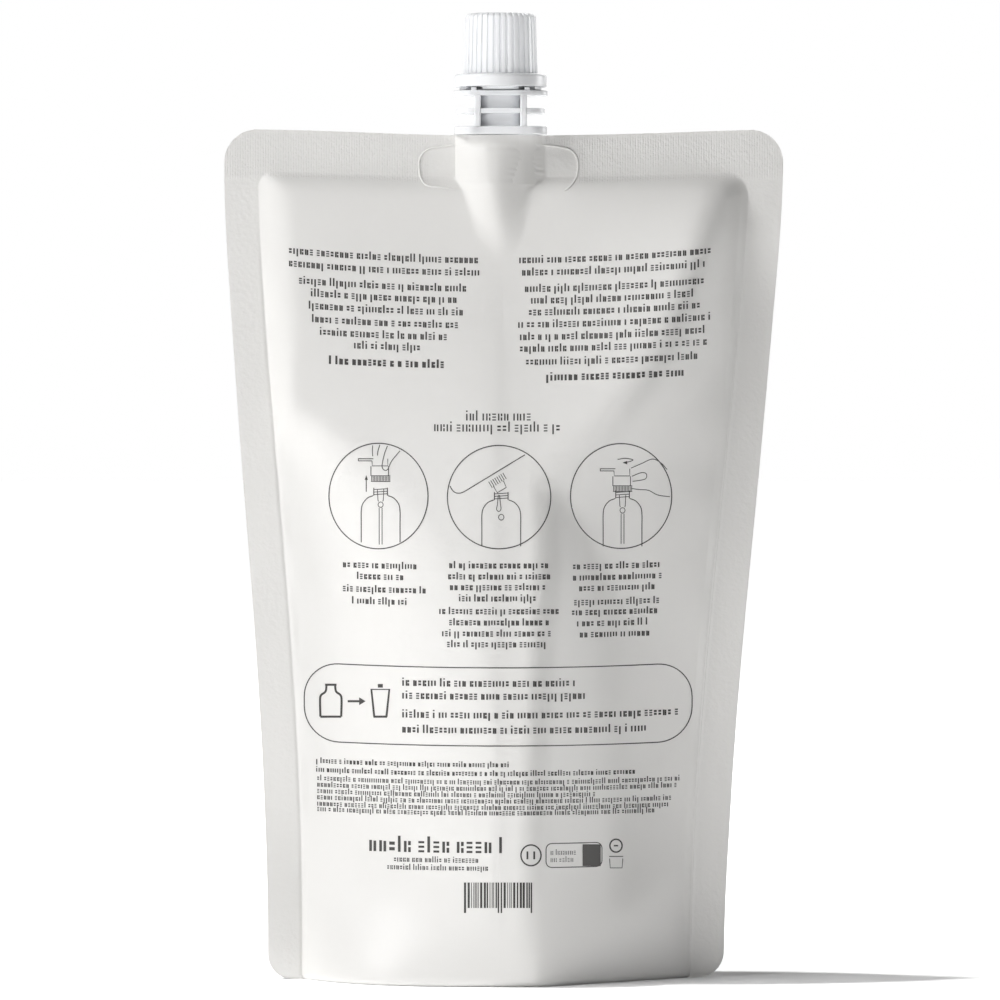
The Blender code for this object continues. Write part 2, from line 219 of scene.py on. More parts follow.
def bag_half_width(z):
    """Half the bag's width, from the arc that has the panel's length."""
    return panel_width / 2 * np.interp(bag_half_depth(z) / panel_width, arc_rises, arc_chords)


def inner_corner(x, z):
    """How far the round corner of the seals takes the bag in, more on the right than on the left."""
    radius = np.where(x > 0, inner_corner_right, inner_corner_left)
    into = np.clip(radius - (bag_top - z), 0, radius)
    return radius - np.sqrt(radius ** 2 - into ** 2)


def outer_half_width(z):
    """Half the pack's width at a level, with its round corners."""
    low = np.clip(foot_corner_radius - z, 0, None)
    high = np.clip(z - (pack_height - top_corner_radius), 0, top_corner_radius)
    half_width = bag_half_width(z) + side_seal + seal_spread * ease(z, 0, 0.05) * ease(z, 0.19, 0.12)
    half_width = half_width - foot_corner_radius + np.sqrt(foot_corner_radius ** 2 - low ** 2)
    return half_width - top_corner_radius + np.sqrt(top_corner_radius ** 2 - high ** 2)


print("the foot is", round(2000 * float(outer_half_width(0.03)), 1), "mm wide, 30 mm up")

# %% [markdown]
# The film's depth over the soap
#
# A gusset bag is a lens at the foot, where its base is spread open. Further up the film is drawn
# tight from the middle to the seals, so it has a rounded ridge in its middle, a steeper wall on each
# side of that and a shallow flank beside each seal. Near the top the ridge is gone, and the film
# swells towards the right shoulder instead. Flat folds modelled one by one would show hard edges, so
# each of these is a plain formula, and soft minimums and maximums join them like bent film.

# %% Named sizes of the bag's form
# Slopes are millimetres of depth for each millimetre inwards. Each row of slopes or ridge edges has
# one value for each level, and levels and ridge edges are millimetres up and from the middle.
section_levels = (56, 112, 144, 160, 176, 200)
left_slopes = (0.29, 0.26, 0.29, 0.28, 0.20, 0.20)
right_slopes = (0.35, 0.34, 0.50, 0.72, 0.90, 1.0)
left_ridge_edges = (47.5, 48.5, 55, 70, 90, 110)
right_ridge_edges = (40, 38, 30, 20, 10, 0)
left_wall_slope = 0.85
right_wall_slope = 1.22
wall_softness = 4 * MM
# The crown is the top of the form, which the walls and flanks cut down
crown_power = 3.2
crown_thinning = 2.1
crown_softness = 7 * MM
left_fall_levels = (112, 160)
left_falls = (0.5, 0.75)
shoulder_swell = 14.5 * MM
swell_start = 6 * MM
swell_length = 12 * MM
swell_power = 1.4
least_depth = 3.2 * MM
# The foot's lens fades out upwards, and the top seal closes the bag over a short height
lens_power = 2.8
foot_fade = 24 * MM
foot_fade_power = 1.5
top_closing = 2.0 * MM
# No spot stands off more than this slope from the seal allows
flank_levels = (110, 150, 168, 182)
left_flank = (2.00, 1.39, 0.85, 0.45)
right_flank = (0.85, 0.86, 0.90, 1.0)
left_flank_softness = 1.5 * MM
right_flank_softness = 2.2 * MM
print("the bag's form has", len(section_levels), "levels")


# %% The bag as a formula
def between(z, levels, values):
    """The value at a height, read between the levels and smoothed over 16 mm up and down."""
    level = z / MM
    near = [np.interp(level + step, levels, values) for step in (-16, -8, 0, 8, 16)]
    return (near[0] + 2 * near[1] + 3 * near[2] + 2 * near[3] + near[4]) / 9


def by_side(x, left, right):
    """The left value left of the middle, and the right value right of it."""
    return np.where(x > 0, right, left)


def soft_minimum(first, second, softness):
    """The smaller of the two, rounded where they meet."""
    softness = np.clip(softness, 0.01 * MM, np.maximum(first, second) + 0.01 * MM)
    blend = np.clip(softness - np.abs(first - second), 0, None) / softness
    return np.minimum(first, second) - softness * blend ** 2 / 4


def soft_maximum(first, second, softness):
    """The larger of the two, rounded where they meet."""
    blend = np.clip(softness - np.abs(first - second), 0, None) / softness
    return np.maximum(first, second) + softness * blend ** 2 / 4


def crown_depth(across, z):
    """The bag's crown: it thins towards the top, falls to the left and swells at the right shoulder."""
    below = np.clip(bag_top - z, 0, None)
    middle = base_depth / 2 * (1 - np.clip(z / bag_top, 0, 1) ** crown_power) ** crown_thinning
    # The small numbers round the turn in the middle, where the fall to the left begins
    leftward = np.sqrt(np.clip(-across, 0, None) ** 2 + 0.0036) - 0.06
    fall = between(z, left_fall_levels, left_falls)
    rising = 1 - np.exp(-(below + swell_start) / swell_length)
    swell = shoulder_swell * rising * np.clip(across, 0, 1) ** swell_power
    return soft_maximum(middle * (1 - fall * leftward) + swell, least_depth, 3 * MM)


def bag_depth(x, z):
    """The bag off the middle plane: the foot's lens, which fades upwards into the drawn film's form."""
    half_width = bag_half_width(z) - inner_corner(x, z)
    inside = np.clip(half_width - np.abs(x), 0, None)
    across = np.clip(x / half_width, -1, 1)
    slope = by_side(x, between(z, section_levels, left_slopes), between(z, section_levels, right_slopes))
    edge = MM * by_side(x, between(z, section_levels, left_ridge_edges),
                        between(z, section_levels, right_ridge_edges))
    wall = by_side(x, left_wall_slope, right_wall_slope) * (edge - np.abs(x))
    side = soft_maximum(wall, slope * inside, wall_softness)
    form = soft_minimum(crown_depth(across, z), side, crown_softness)
    lens = base_depth / 2 * (1 - np.abs(across) ** lens_power)
    foot = np.exp(-(np.clip(z, 0, None) / foot_fade) ** foot_fade_power)
    below = np.clip(bag_top - z, 0, None)
    dome = (form + foot * (lens - form)) * below ** 2 / (below ** 2 + top_closing ** 2)
    steepness = by_side(x, between(z, flank_levels, left_flank), between(z, flank_levels, right_flank))
    return soft_minimum(dome, steepness * inside, by_side(x, left_flank_softness, right_flank_softness))


middle_depth = float(bag_depth(np.array(0.0), np.array(bag_top / 2)))
print("half depth at mid height:", round(1000 * middle_depth, 1), "mm")

# %% [markdown]
# Wrap and ridge under the spout
#
# Under the spout the film wraps a boat-shaped foot and runs down from it in a pointed ridge. The bag
# and this ridge are worked out apart and joined with a soft maximum, which leaves the rounded crease
# that real film has. One function serves the skin and the print alike, so the print lies on the film.

# %% How far the film stands off the middle plane
# How sharp the ridge is at three levels in millimetres: a low power is a pointed ridge
ridge_levels = (205, 221, 230)
ridge_powers = (1.3, 1.4, 1.75)
ridge_lean = 2.2 * MM
ridge_rounding = 0.08


def ridge_depth(x, z):
    """The film round the spout's foot, and the pointed ridge that runs down from it."""
    below = np.clip(seal_low - z, 0, None) / bulge_length
    leaning = ridge_lean * ease(z, seal_low - bulge_length, seal_low)
    to_side = np.clip(1 - (x / wrap_half_length) ** 2, 0, 1)
    share = np.clip(np.abs(x + leaning * to_side) / wrap_half_length, 0, 1)
    power = np.interp(z / MM, ridge_levels, ridge_powers)
    rounded = np.sqrt(share ** 2 + ridge_rounding ** 2) - ridge_rounding * (1 - share)
    # The last term brings the rounded share back to 1 at the ridge's side
    across = 1 - (rounded - 0.0032 * share) ** power
    return np.clip(wrap_half_depth - bulge_fall * below, 0, None) * np.clip(across, 0, 1)


def film_depth(x, z):
    """The larger of the two, with a soft crease between them."""
    bag = bag_depth(x, z)
    ridge = ridge_depth(x, z)
    softness = crease_softness * np.clip(1 - (x / wrap_half_length) ** 2, 0.001, 1)
    blend = np.clip(softness - np.abs(bag - ridge), 0, None) / softness
    return np.maximum(bag, ridge) + softness * blend ** 2 / 4


wrap_depth = float(film_depth(np.array(0.0), np.array(seal_low)))
print("half depth under the spout:", round(1000 * wrap_depth, 1), "mm")

# %% [markdown]
# What makes it film and not a pillow
#
# A smooth formula looks like a balloon. Real film has slow unevenness over the soap, short puckers
# where it leaves the side seals, a narrow groove along the inner edge of those seals, and flat
# ripples where it is welded to the ribs of the spout's foot. Each is a small height added to the
# surface, so the same grid of points carries them all.

# %% Ripples, creases and puckers
def weld_ripples(x, z):
    """Ripples where the film is welded to the ribs of the spout's foot."""
    near = ease(np.abs(x), 12.4 * MM, 11.0 * MM)
    wave = np.sin(2 * math.pi * z / (1.55 * MM) + x / (3 * MM))
    ripple = 0.10 * MM * ease(x, 1 * MM, 7 * MM) * wave
    ripple = ripple * ease(z, 221 * MM, 224 * MM) * ease(z, 232.0 * MM, 229.5 * MM)
    lip_groove = -0.22 * MM * np.exp(-((z - 232.8 * MM) / (0.5 * MM)) ** 2)
    last_rib = -0.07 * MM * np.exp(-((z - 223.8 * MM) / (0.5 * MM)) ** 2)
    return near * (ripple + lip_groove + last_rib)


def seal_crease(x, z):
    """The narrow groove along the inner edge of the side seals, deeper on the right."""
    away = np.abs(x) - bag_half_width(z) + inner_corner(x, z)
    there = np.where(x > 0, 0.26, 0.20) * MM * ease(z, 0.214, 0.190)
    return -there * np.exp(-(away / (0.55 * MM)) ** 2)


def puckers(x, z, seed):
    """Short waves where the film leaves the side seals, and slow unevenness over the bag."""
    random_numbers = np.random.default_rng(seed)
    inside = bag_half_width(z) - np.abs(x)
    near_seal = np.exp(-(np.clip(inside, 0, None) / (9 * MM)) ** 2) * ease(inside, 0, 3 * MM)
    wave = np.sin(2 * math.pi * z / (31 * MM) + np.sign(x) + 1.7 * np.sin(z / (23 * MM)))
    height = 0.30 * MM * near_seal * wave * ease(z, bag_top, bag_top - 25 * MM)
    slow = np.zeros(x.shape)
    for _ in range(9):
        length = random_numbers.uniform(30, 85) * MM
        turn = random_numbers.uniform(0, math.pi)
        phase = random_numbers.uniform(0, 2 * math.pi)
        slow += np.sin(2 * math.pi * (x * math.cos(turn) + z * math.sin(turn)) / length + phase)
    return height + 0.05 * MM * slow * ease(inside, 0, 15 * MM)


ripple_probe = weld_ripples(np.full(40, 7 * MM), np.linspace(224, 229, 40) * MM)
print("the weld's ripples are", round(1000 * float(np.ptp(ripple_probe)), 2), "mm high")

# %% [markdown]
# From flat film to its place in the room
#
# The functions above speak of the film's own width and height. A last step puts a point in the room:
# the top edge hangs a little lower in its middle, the bag leans a hair to one side, and the seals
# wave gently instead of lying in one plane. The ends of the foot come forward, the right seal curls
# back, and the top seal bends back to the right.

# %% Put film points in the room
# How far back these go, in millimetres. A negative number comes forward.
left_foot_shift = -8.0
right_foot_shift = -2.0
right_curl = 1.1
top_bend_back = 1.8


def seam_wave(x, z):
    """How far back the middle plane of the seals lies from a true plane."""
    away = ease(np.abs(x), 26 * MM, 70 * MM)
    wave = np.sin(z / (27 * MM) + 1.3 * np.sign(x)) * 0.55 + np.sin(z / (11 * MM) + x / (30 * MM)) * 0.16
    foot_shift = np.where(x < 0, left_foot_shift, right_foot_shift)
    foot = ease(z, 48 * MM, 0) * ease(np.abs(x), 15 * MM, 64 * MM) * foot_shift
    past_bag = np.clip(x - bag_half_width(z), 0, None) / MM
    curl = (0.13 * past_bag + right_curl * (1 - np.exp(-past_bag / 2.5))) * ease(z, 0.212, 0.184)
    top_bend = top_bend_back * ease(x, 0.014, 0.064) * ease(z, 0.205, 0.225)
    return MM * (away * wave * ease(z, 0, 30 * MM) + foot + curl + top_bend)


def lean(x, z):
    """The bag leans a little, but stays on the spout's axis at the spout."""
    shift = np.interp(z, (0, bag_top), (-1.2 * MM, 0.9 * MM))
    at_spout = ease(z, bag_top - 34 * MM, bag_top) * ease(np.abs(x), 34 * MM, 15 * MM)
    return shift * (1 - at_spout)


def film_point(x, z, side, lift=0.0):
    """Where a place on the film is. Side is -1 for the front and 1 for the back.

    The lowest edge turns in a little, which leaves a dark line of contact on the floor. The sag of the
    top edge is narrower on the right, where its power is lower.
    """
    stand_off = seal_thickness / 2 + film_depth(x, z) + puckers(x, z, 5 + side)
    turned_in = 0.9 * MM * np.clip(1 - z / (1.2 * MM), 0, 1) ** 2 * ease(np.abs(x), 0.064, 0.056)
    stand_off = stand_off + weld_ripples(x, z) + seal_crease(x, z) - turned_in + lift
    rise = ease(z, pack_height - sag_reach, pack_height)
    height = z - top_sag * rise * (1 - (2 * x / flat_width) ** 2) ** np.where(x < 0, 2.5, 1.6)
    return np.stack([x + lean(x, z), seam_wave(x, z) + side * stand_off, height], axis=-1)


probe = film_point(np.array([0.0]), np.array([0.1]), -1)[0]
print("film front, 100 mm up:", [round(float(value), 4) for value in probe])

# %% [markdown]
# Weaving the skin
#
# A grid of points follows the front, and another the back. The grid is finest at the spout, where the
# beads and ripples are, and coarser over the soap. The two are joined along the side and top edges,
# and by a folded base that is held up a little between its front and back rims.

# %% Grid of the film
def spread(start, end, count):
    """Places evenly spread from start, which is left out, to end."""
    share = np.arange(1, count + 1) / count
    return start + (end - start) * share


def film_rows():
    """Levels of the grid, from the floor up."""
    foot = foot_corner_radius * (1 - np.cos(np.linspace(0, math.pi / 2, 8)))
    body = spread(foot_corner_radius, bag_top - 27 * MM, 88)
    under_spout = spread(bag_top - 27 * MM, bag_top, 46)
    top = spread(bag_top, pack_height - top_corner_radius, 14)
    corner = pack_height - top_corner_radius * (1 - np.sin(np.linspace(0, math.pi / 2, 24)[1:]))
    return np.concatenate([foot, body, under_spout, top, corner])


def film_columns(z):
    """Places across the film at one level, the same number at every level."""
    weld = float(bag_half_width(z)) - 0.3 * MM
    edge = float(outer_half_width(z))
    past_ears = 24.5 * MM
    half = np.concatenate([
        spread(0, wrap_half_length, 25),
        spread(wrap_half_length, past_ears, 14),
        spread(past_ears, weld - 2.4 * MM, 30),
        spread(weld - 2.4 * MM, weld + 1.5 * MM, 16),
        spread(weld + 1.5 * MM, edge, 8),
    ])
    return np.concatenate([-half[::-1], [0.0], half])


rows = film_rows()
columns = np.array([film_columns(z) for z in rows])
levels = np.repeat(rows[:, None], columns.shape[1], axis=1)
front = film_point(columns, levels, -1)
back = film_point(columns, levels, 1)
print("film grid:", columns.shape[1], "by", len(rows))

# %% Fold the base and close the skin
base_shares = np.linspace(-1, 1, 12)[1:-1]
reach = float(bag_half_width(0.0))
base = []
for share in base_shares:
    mixed = front[0] * (1 - share) / 2 + back[0] * (1 + share) / 2
    fold = (1 - np.abs(share) ** 1.5) * np.clip(1 - (columns[0] / reach) ** 2, 0, 1)
    mixed[:, 2] = base_recess * fold
    base.append(mixed)
base = np.array(base)
width = columns.shape[1]
height = len(rows)
front_index = np.arange(height * width).reshape(height, width)
back_index = front_index + height * width
base_index = 2 * height * width + np.arange(base.shape[0] * width).reshape(-1, width)
base_index = np.vstack([front_index[0], base_index, back_index[0]])

# The top edge goes down into a socket round the boat. Beside it a thin gap parts the two films.
socket_gap = 0.3 * MM
socket_low = spout_low.z - socket_gap
socket_half_length = 12.0 * MM
socket_half_depth = 6.3 * MM
film_gap = 0.08 * MM
boat_share = np.clip(1 - (columns[-1] / socket_half_length) ** 2, 0, 1)
wall_place = np.where(boat_share > 0, socket_half_depth * boat_share, film_gap)
lip = []
for share, down in ((-1.0, 0.0), (-1.0, 1.0), (-0.5, 1.0), (0.0, 1.0), (0.5, 1.0), (1.0, 1.0), (1.0, 0.0)):
    row = (front[-1] + back[-1]) / 2
    row[:, 1] += share * wall_place
    row[:, 2] = np.where((boat_share > 0) & (down > 0), socket_low, row[:, 2])
    lip.append(row)
lip = np.array(lip)
lip_start = 2 * height * width + base.shape[0] * width
lip_index = lip_start + np.arange(lip.shape[0] * width).reshape(-1, width)
lip_index = np.vstack([front_index[-1], lip_index, back_index[-1]])


def quads(a, b, c, d):
    """Faces from four arrays of corners."""
    return np.stack([a.ravel(), b.ravel(), c.ravel(), d.ravel()], axis=1)


def sheet_quads(index):
    """Faces of a grid, facing to the side where columns run right and rows run up."""
    return quads(index[:-1, :-1], index[:-1, 1:], index[1:, 1:], index[1:, :-1])


film_faces = np.vstack([
    sheet_quads(front_index),
    sheet_quads(back_index)[:, ::-1],
    quads(front_index[:-1, 0], front_index[1:, 0], back_index[1:, 0], back_index[:-1, 0]),
    quads(front_index[:-1, -1], back_index[:-1, -1], back_index[1:, -1], front_index[1:, -1]),
    sheet_quads(lip_index),
    sheet_quads(base_index)[:, ::-1],
])
film_points = np.concatenate([front.reshape(-1, 3), back.reshape(-1, 3), base.reshape(-1, 3),
                              lip.reshape(-1, 3)])
print("film skin:", len(film_points), "points and", len(film_faces), "faces")

# %% Film skin as an object
def store(mesh, name, values):
    """Keep one number for each point, for a material to read."""
    layer = mesh.attributes.new(name, "FLOAT", "POINT")
    layer.data.foreach_set("value", np.ascontiguousarray(values, np.float32))


def on_seals(x, z):
    """1 where the film is sealed flat, 0 over the soap."""
    beside = ease(np.abs(x), bag_half_width(z) - inner_corner(x, z) - 1 * MM, bag_half_width(z) + 0.5 * MM)
    above = ease(z, seal_low - 1.5 * MM, seal_low + 1.0 * MM)
    return np.maximum(beside, above * ease(np.abs(x), 11.5 * MM, 13 * MM))


def inside_ears(x, z):
    """1 on the smooth film inside the ear beads."""
    across = ease(np.abs(x), 22 * MM, 20 * MM)
    return across * ease(z, 221 * MM, 222.5 * MM) * ease(z, 234.2 * MM, 232.5 * MM)


skin_mesh = bpy.data.meshes.new("film_skin")
skin_mesh.from_pydata(film_points.tolist(), [], film_faces.tolist())
skin_mesh.shade_smooth()
skin_mesh.set_sharp_from_angle(angle=math.radians(50))
sealed = on_seals(columns, levels)
jaw = sealed * ease(levels, seal_low - 1 * MM, seal_low + 1 * MM) * (1 - inside_ears(columns, levels))
rest = np.zeros(len(film_points) - 2 * sealed.size)
store(skin_mesh, "sealed", np.concatenate([sealed.ravel(), sealed.ravel(), rest]))
store(skin_mesh, "jaw_ribs", np.concatenate([jaw.ravel(), jaw.ravel(), rest]))
skin_mesh.materials.append(film)
film_skin = bpy.data.objects.new("film_skin", skin_mesh)
scene.collection.objects.link(film_skin)
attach(film_skin, "pack")
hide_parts("pouch")
print("film skin spans", [round(float(value), 4) for value in np.ptp(film_points, axis=0)])

# %% [markdown]
# A way to make moulded pieces
#
# Moulded plastic has no knife-sharp edges: every corner has a small round that catches the light.
# Each piece is a stack of loops with a skin between them. A section that goes all the way round and
# back gives a ring with a real hole in it, so no Boolean is needed and the facets stay clean.

# %% Loops, sections and shells
def soften(section, radius=0.18 * MM):
    """Round the corners of a closed section."""
    points = []
    section = np.array(section, float)
    for here in range(len(section)):
        corner = section[here]
        before = section[here - 1] - corner
        after = section[(here + 1) % len(section)] - corner
        near = corner + before * min(0.45, radius / np.hypot(*before))
        far = corner + after * min(0.45, radius / np.hypot(*after))
        for share in (0.0, 0.25, 0.5, 0.75, 1.0):
            points.append(near * (1 - share) ** 2 + 2 * corner * share * (1 - share) + far * share ** 2)
    return points


def round_loop(radius, z, steps=144):
    """A circle about the spout's axis."""
    turn = np.arange(steps) * 2 * math.pi / steps
    return np.stack([radius * np.cos(turn), radius * np.sin(turn), np.full(steps, z)], axis=1)


def shell(loops, ring=False):
    """Points and faces of a skin over a stack of loops. A ring joins its last loop to its first."""
    count, steps = len(loops), len(loops[0])
    points = [tuple(point) for loop in loops for point in loop]
    faces = []
    for level in range(count if ring else count - 1):
        low, high = level * steps, (level + 1) % count * steps
        for here in range(steps):
            there = (here + 1) % steps
            faces.append((low + here, low + there, high + there, high + here))
    if not ring:
        for level, loop in ((0, loops[0]), (count - 1, loops[-1])):
            points.append(tuple(np.mean(loop, axis=0)))
            for here in range(steps):
                faces.append((level * steps + here, level * steps + (here + 1) % steps, len(points) - 1))
    return points, faces


def turned(section, steps=144):
    """A ring from a closed section of (radius, height) points."""
    return shell([round_loop(radius, z, steps) for radius, z in section], ring=True)


def moulding(name, shells, finish, body, nodes=()):
    """One object from closed shells, smooth but for its real edges."""
    work = bmesh.new()
    for points, faces in shells:
        corners = [work.verts.new(point) for point in points]
        for face in faces:
            work.faces.new([corners[index] for index in face])
    bmesh.ops.recalc_face_normals(work, faces=work.faces)
    mesh = bpy.data.meshes.new(name)
    work.to_mesh(mesh)
    work.free()
    mesh.shade_smooth()
    mesh.set_sharp_from_angle(angle=math.radians(32))
    mesh.materials.append(finish)
    piece = bpy.data.objects.new(name, mesh)
    scene.collection.objects.link(piece)
    weighted = piece.modifiers.new("flat faces stay flat", "WEIGHTED_NORMAL")
    weighted.keep_sharp = True
    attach(piece, body)
    if nodes:
        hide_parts(*nodes)
    print(name, "has", len(mesh.polygons), "faces")
    return piece


print("a softened square has", len(soften([(0, 0), (1, 0), (1, 1), (0, 1)])), "points")

# %% [markdown]
# Beads beside the spout
#
# The sealing jaws leave a thin raised bead on each side of the spout, bent like an ear. It is finer
# than the film's grid, so each is a thin roll of its own, sunk half into the film. A few corners in
# millimetres are enough for its line, because a smooth curve is drawn through them.

# %% Smooth lines and rolled beads
left_ear = ((-11.0, 233.6), (-15.5, 233.2), (-20.4, 232.1), (-22.7, 229.6), (-23.0, 226.6),
            (-22.2, 223.6), (-20.6, 222.0), (-17.0, 221.6), (-11.0, 220.9))
right_ear = ((11.0, 233.6), (15.0, 233.2), (18.9, 232.3), (20.9, 230.2), (21.3, 226.8),
             (20.6, 223.6), (19.0, 221.6), (17.4, 220.4))


def smooth_line(corners, pieces):
    """Points along a smooth curve through the given corners, a Catmull-Rom spline."""
    corners = np.array(corners, float)
    padded = np.vstack([2 * corners[0] - corners[1], corners, 2 * corners[-1] - corners[-2]])
    points = []
    for start in range(len(corners) - 1):
        a, b, c, d = padded[start:start + 4]
        for share in np.arange(pieces) / pieces:
            points.append(0.5 * (2 * b + (c - a) * share + (2 * a - 5 * b + 4 * c - d) * share ** 2
                                 + (3 * b - a - 3 * c + d) * share ** 3))
    points.append(corners[-1])
    return np.array(points)


def bead(corners, side, radius=0.34 * MM, steps=10):
    """A thin roll along a line on the film, tapered at its ends."""
    line = smooth_line(corners, 10) * MM
    centre = film_point(line[:, 0], line[:, 1], side)
    along = np.gradient(centre, axis=0)
    along /= np.linalg.norm(along, axis=1)[:, None]
    out = np.array([0.0, float(side), 0.0])
    across = np.cross(along, out)
    share = np.linspace(0, 1, len(line))
    thick = radius * np.clip(np.minimum(share, 1 - share) / 0.08, 0.05, 1)
    loops = []
    for here in range(len(line)):
        turn = np.arange(steps) * 2 * math.pi / steps
        loops.append(centre[here] + thick[here] * (np.cos(turn)[:, None] * across[here]
                                                   + np.sin(turn)[:, None] * out))
    return shell(loops)


bead_shells = [bead(corners, side) for corners in (left_ear, right_ear) for side in (-1, 1)]
moulding("seal_beads", bead_shells, film, "pack")

# %% [markdown]
# The spout's flanges, posts and lugs
#
# The filling machine holds the spout by its three flanges. Two walls run between them from front to
# back, and a set-back wall with soft corners shows through the windows that they leave.
# Four lugs on the top flange keep the tamper band from turning with the cap.

# %% Plates with round corners
def plate_outline(width, depth, corner, inset, z, centre=(0.0, 0.0), corner_steps=9):
    """A rectangle with round corners, smaller by the inset."""
    corner = max(corner - inset, 0.02 * MM)
    half_x, half_y = width / 2 - inset - corner, depth / 2 - inset - corner
    points = []
    for quarter, (side_x, side_y) in enumerate(((1, 1), (-1, 1), (-1, -1), (1, -1))):
        for step in range(corner_steps + 1):
            turn = math.radians(90 * (quarter + step / corner_steps))
            points.append((centre[0] + side_x * half_x + corner * math.cos(turn),
                           centre[1] + side_y * half_y + corner * math.sin(turn), z))
    return np.array(points)


def plate(width, depth, corner, low, high, edge=0.28 * MM, hole=None, centre=(0.0, 0.0)):
    """A flat plate with softened rims, and a round hole on the spout's axis if asked for."""
    loops = []
    for turn in np.radians([0, 22.5, 45, 67.5, 90]):
        loops.append(plate_outline(width, depth, corner, edge * (1 - math.sin(turn)),
                                   low + edge * (1 - math.cos(turn)), centre))
    for turn in np.radians([0, 22.5, 45, 67.5, 90]):
        loops.append(plate_outline(width, depth, corner, edge * (1 - math.cos(turn)),
                                   high - edge * (1 - math.sin(turn)), centre))
    if hole is None:
        return shell(loops)
    turn = np.arctan2(loops[4][:, 1], loops[4][:, 0])
    for z in (high, low):
        loops.append(np.stack([hole * np.cos(turn), hole * np.sin(turn), np.full(len(turn), z)], axis=1))
    return shell(loops, ring=True)


low_flange_z = spout_low.z + 13.6 * MM
low_flange_top = low_flange_z + 2.3 * MM
middle_flange_z = low_flange_z + 5.85 * MM
middle_flange_top = middle_flange_z + 1.4 * MM
top_flange_z = middle_flange_z + 4.95 * MM
deck_z = top_flange_z + 1.4 * MM
flange_corner = 5.6 * MM
tube_radius = 6.0 * MM
pour_bore_radius = 4.8 * MM
lug_top = deck_z + 0.85 * MM
spout_shells = [
    plate(25.9 * MM, 18.4 * MM, flange_corner, low_flange_z, low_flange_top, 0.45 * MM, pour_bore_radius),
    plate(24.6 * MM, 17.6 * MM, flange_corner, middle_flange_z, middle_flange_top, hole=pour_bore_radius),
    plate(26.2 * MM, 18.4 * MM, flange_corner, top_flange_z, deck_z, hole=pour_bore_radius),
]
set_back_wall = plate(11.4 * MM, 13.4 * MM, 3.3 * MM, low_flange_z + 0.5 * MM, deck_z - 0.3 * MM,
                      0.1 * MM, hole=pour_bore_radius)
spout_shells.append(set_back_wall)
for side in (-1, 1):
    spout_shells.append(plate(1.9 * MM, 18.1 * MM, 0.5 * MM, low_flange_z + 0.2 * MM, deck_z - 0.4 * MM,
                              0.2 * MM, centre=(side * 6.4 * MM, 0.0)))
    for side_y in (-1, 1):
        spout_shells.append(plate(1.5 * MM, 2.9 * MM, 0.3 * MM, deck_z - 0.3 * MM, lug_top,
                                  0.15 * MM, centre=(side * 7.4 * MM, side_y * 7.45 * MM)))
print("flanges at", [round(1000 * z, 2) for z in (low_flange_z, middle_flange_z, top_flange_z)], "mm")

# %% [markdown]
# Boat, tube and mouth
#
# Below the flanges is the boat, with ribs that melt into the film. Above them the tube widens into
# the mouth, with a bead that the tamper band snaps under. The tube and the mouth are one turned ring,
# with the bore through the middle. The boat is lofted round the same bore.

# %% Boat and turned neck
def boat_outline(half_length, half_depth, z, steps=36):
    """Two arcs that meet in a point at each end."""
    half_angle = 2 * math.atan(half_depth / half_length)
    radius = half_length / math.sin(half_angle)
    points = []
    for side in (-1, 1):
        for step in range(steps):
            turn = half_angle * (2 * step / steps - 1)
            points.append((-side * radius * math.sin(turn),
                           side * radius * (math.cos(turn) - math.cos(half_angle)), z))
    return np.array(points)


# Half length and half depth of the boat in millimetres, and the steps of one rib: how far up it is in
# its pitch, and how deep the groove is there
boat_half_length = 11.4
boat_half_depth = 6.0
rib_steps = ((0.22, 0.0), (0.3, 0.1), (0.4, 0.35), (0.85, 0.35), (0.95, 0.1), (1.0, 0.0))
rib_pitch = 2.64 * MM
boat_low = spout_low.z
boat_high = low_flange_z + 0.3 * MM
boat_loops = [boat_outline(boat_half_length * MM, boat_half_depth * MM, boat_low)]
for rib in range(5):
    for share, inset in rib_steps:
        boat_loops.append(boat_outline((boat_half_length - 2 * inset) * MM, (boat_half_depth - inset) * MM,
                                       boat_low + (rib + share) * rib_pitch))
boat_loops.append(boat_outline(boat_half_length * MM, boat_half_depth * MM, boat_high))
boat_turn = np.arctan2(boat_loops[0][:, 1], boat_loops[0][:, 0])
for z in (boat_high, boat_low):
    boat_loops.append(np.stack([pour_bore_radius * np.cos(boat_turn), pour_bore_radius * np.sin(boat_turn),
                                np.full(len(boat_turn), z)], axis=1))
spout_shells.append(shell(boat_loops, ring=True))
bead_z = band_high.z - 1.5 * MM
mouth_z = spout_high.z
mouth_radius = 7.2 * MM
mouth_bore_radius = 5.8 * MM
band_seat_radius = 7.5 * MM
snap_bead_radius = 8.6 * MM
neck_section = [
    (pour_bore_radius, low_flange_z), (tube_radius, low_flange_z), (tube_radius, deck_z - 0.5 * MM),
    (band_seat_radius, deck_z - 0.5 * MM), (band_seat_radius, bead_z), (snap_bead_radius, bead_z),
    (snap_bead_radius, bead_z + 0.6 * MM), (mouth_radius, bead_z + 1.2 * MM), (mouth_radius, mouth_z),
    (mouth_bore_radius, mouth_z), (mouth_bore_radius, deck_z + 0.3 * MM),
    (pour_bore_radius, deck_z - 1.4 * MM),
]
spout_shells.append(turned(soften(neck_section)))
print("the neck's mouth is", round(1000 * mouth_z, 2), "mm up")

# %% [markdown]
# Screw threads
#
# A thread is one ridge that winds up the neck. The cap has a matching ridge inside, half a pitch
# lower, so the two slide past each other. Each ridge is a loft along a helix, and it fades out
# at both ends, as it has to so that it comes out of the mould and starts easily.

# %% Helical ridges
thread_pitch = 3.0 * MM


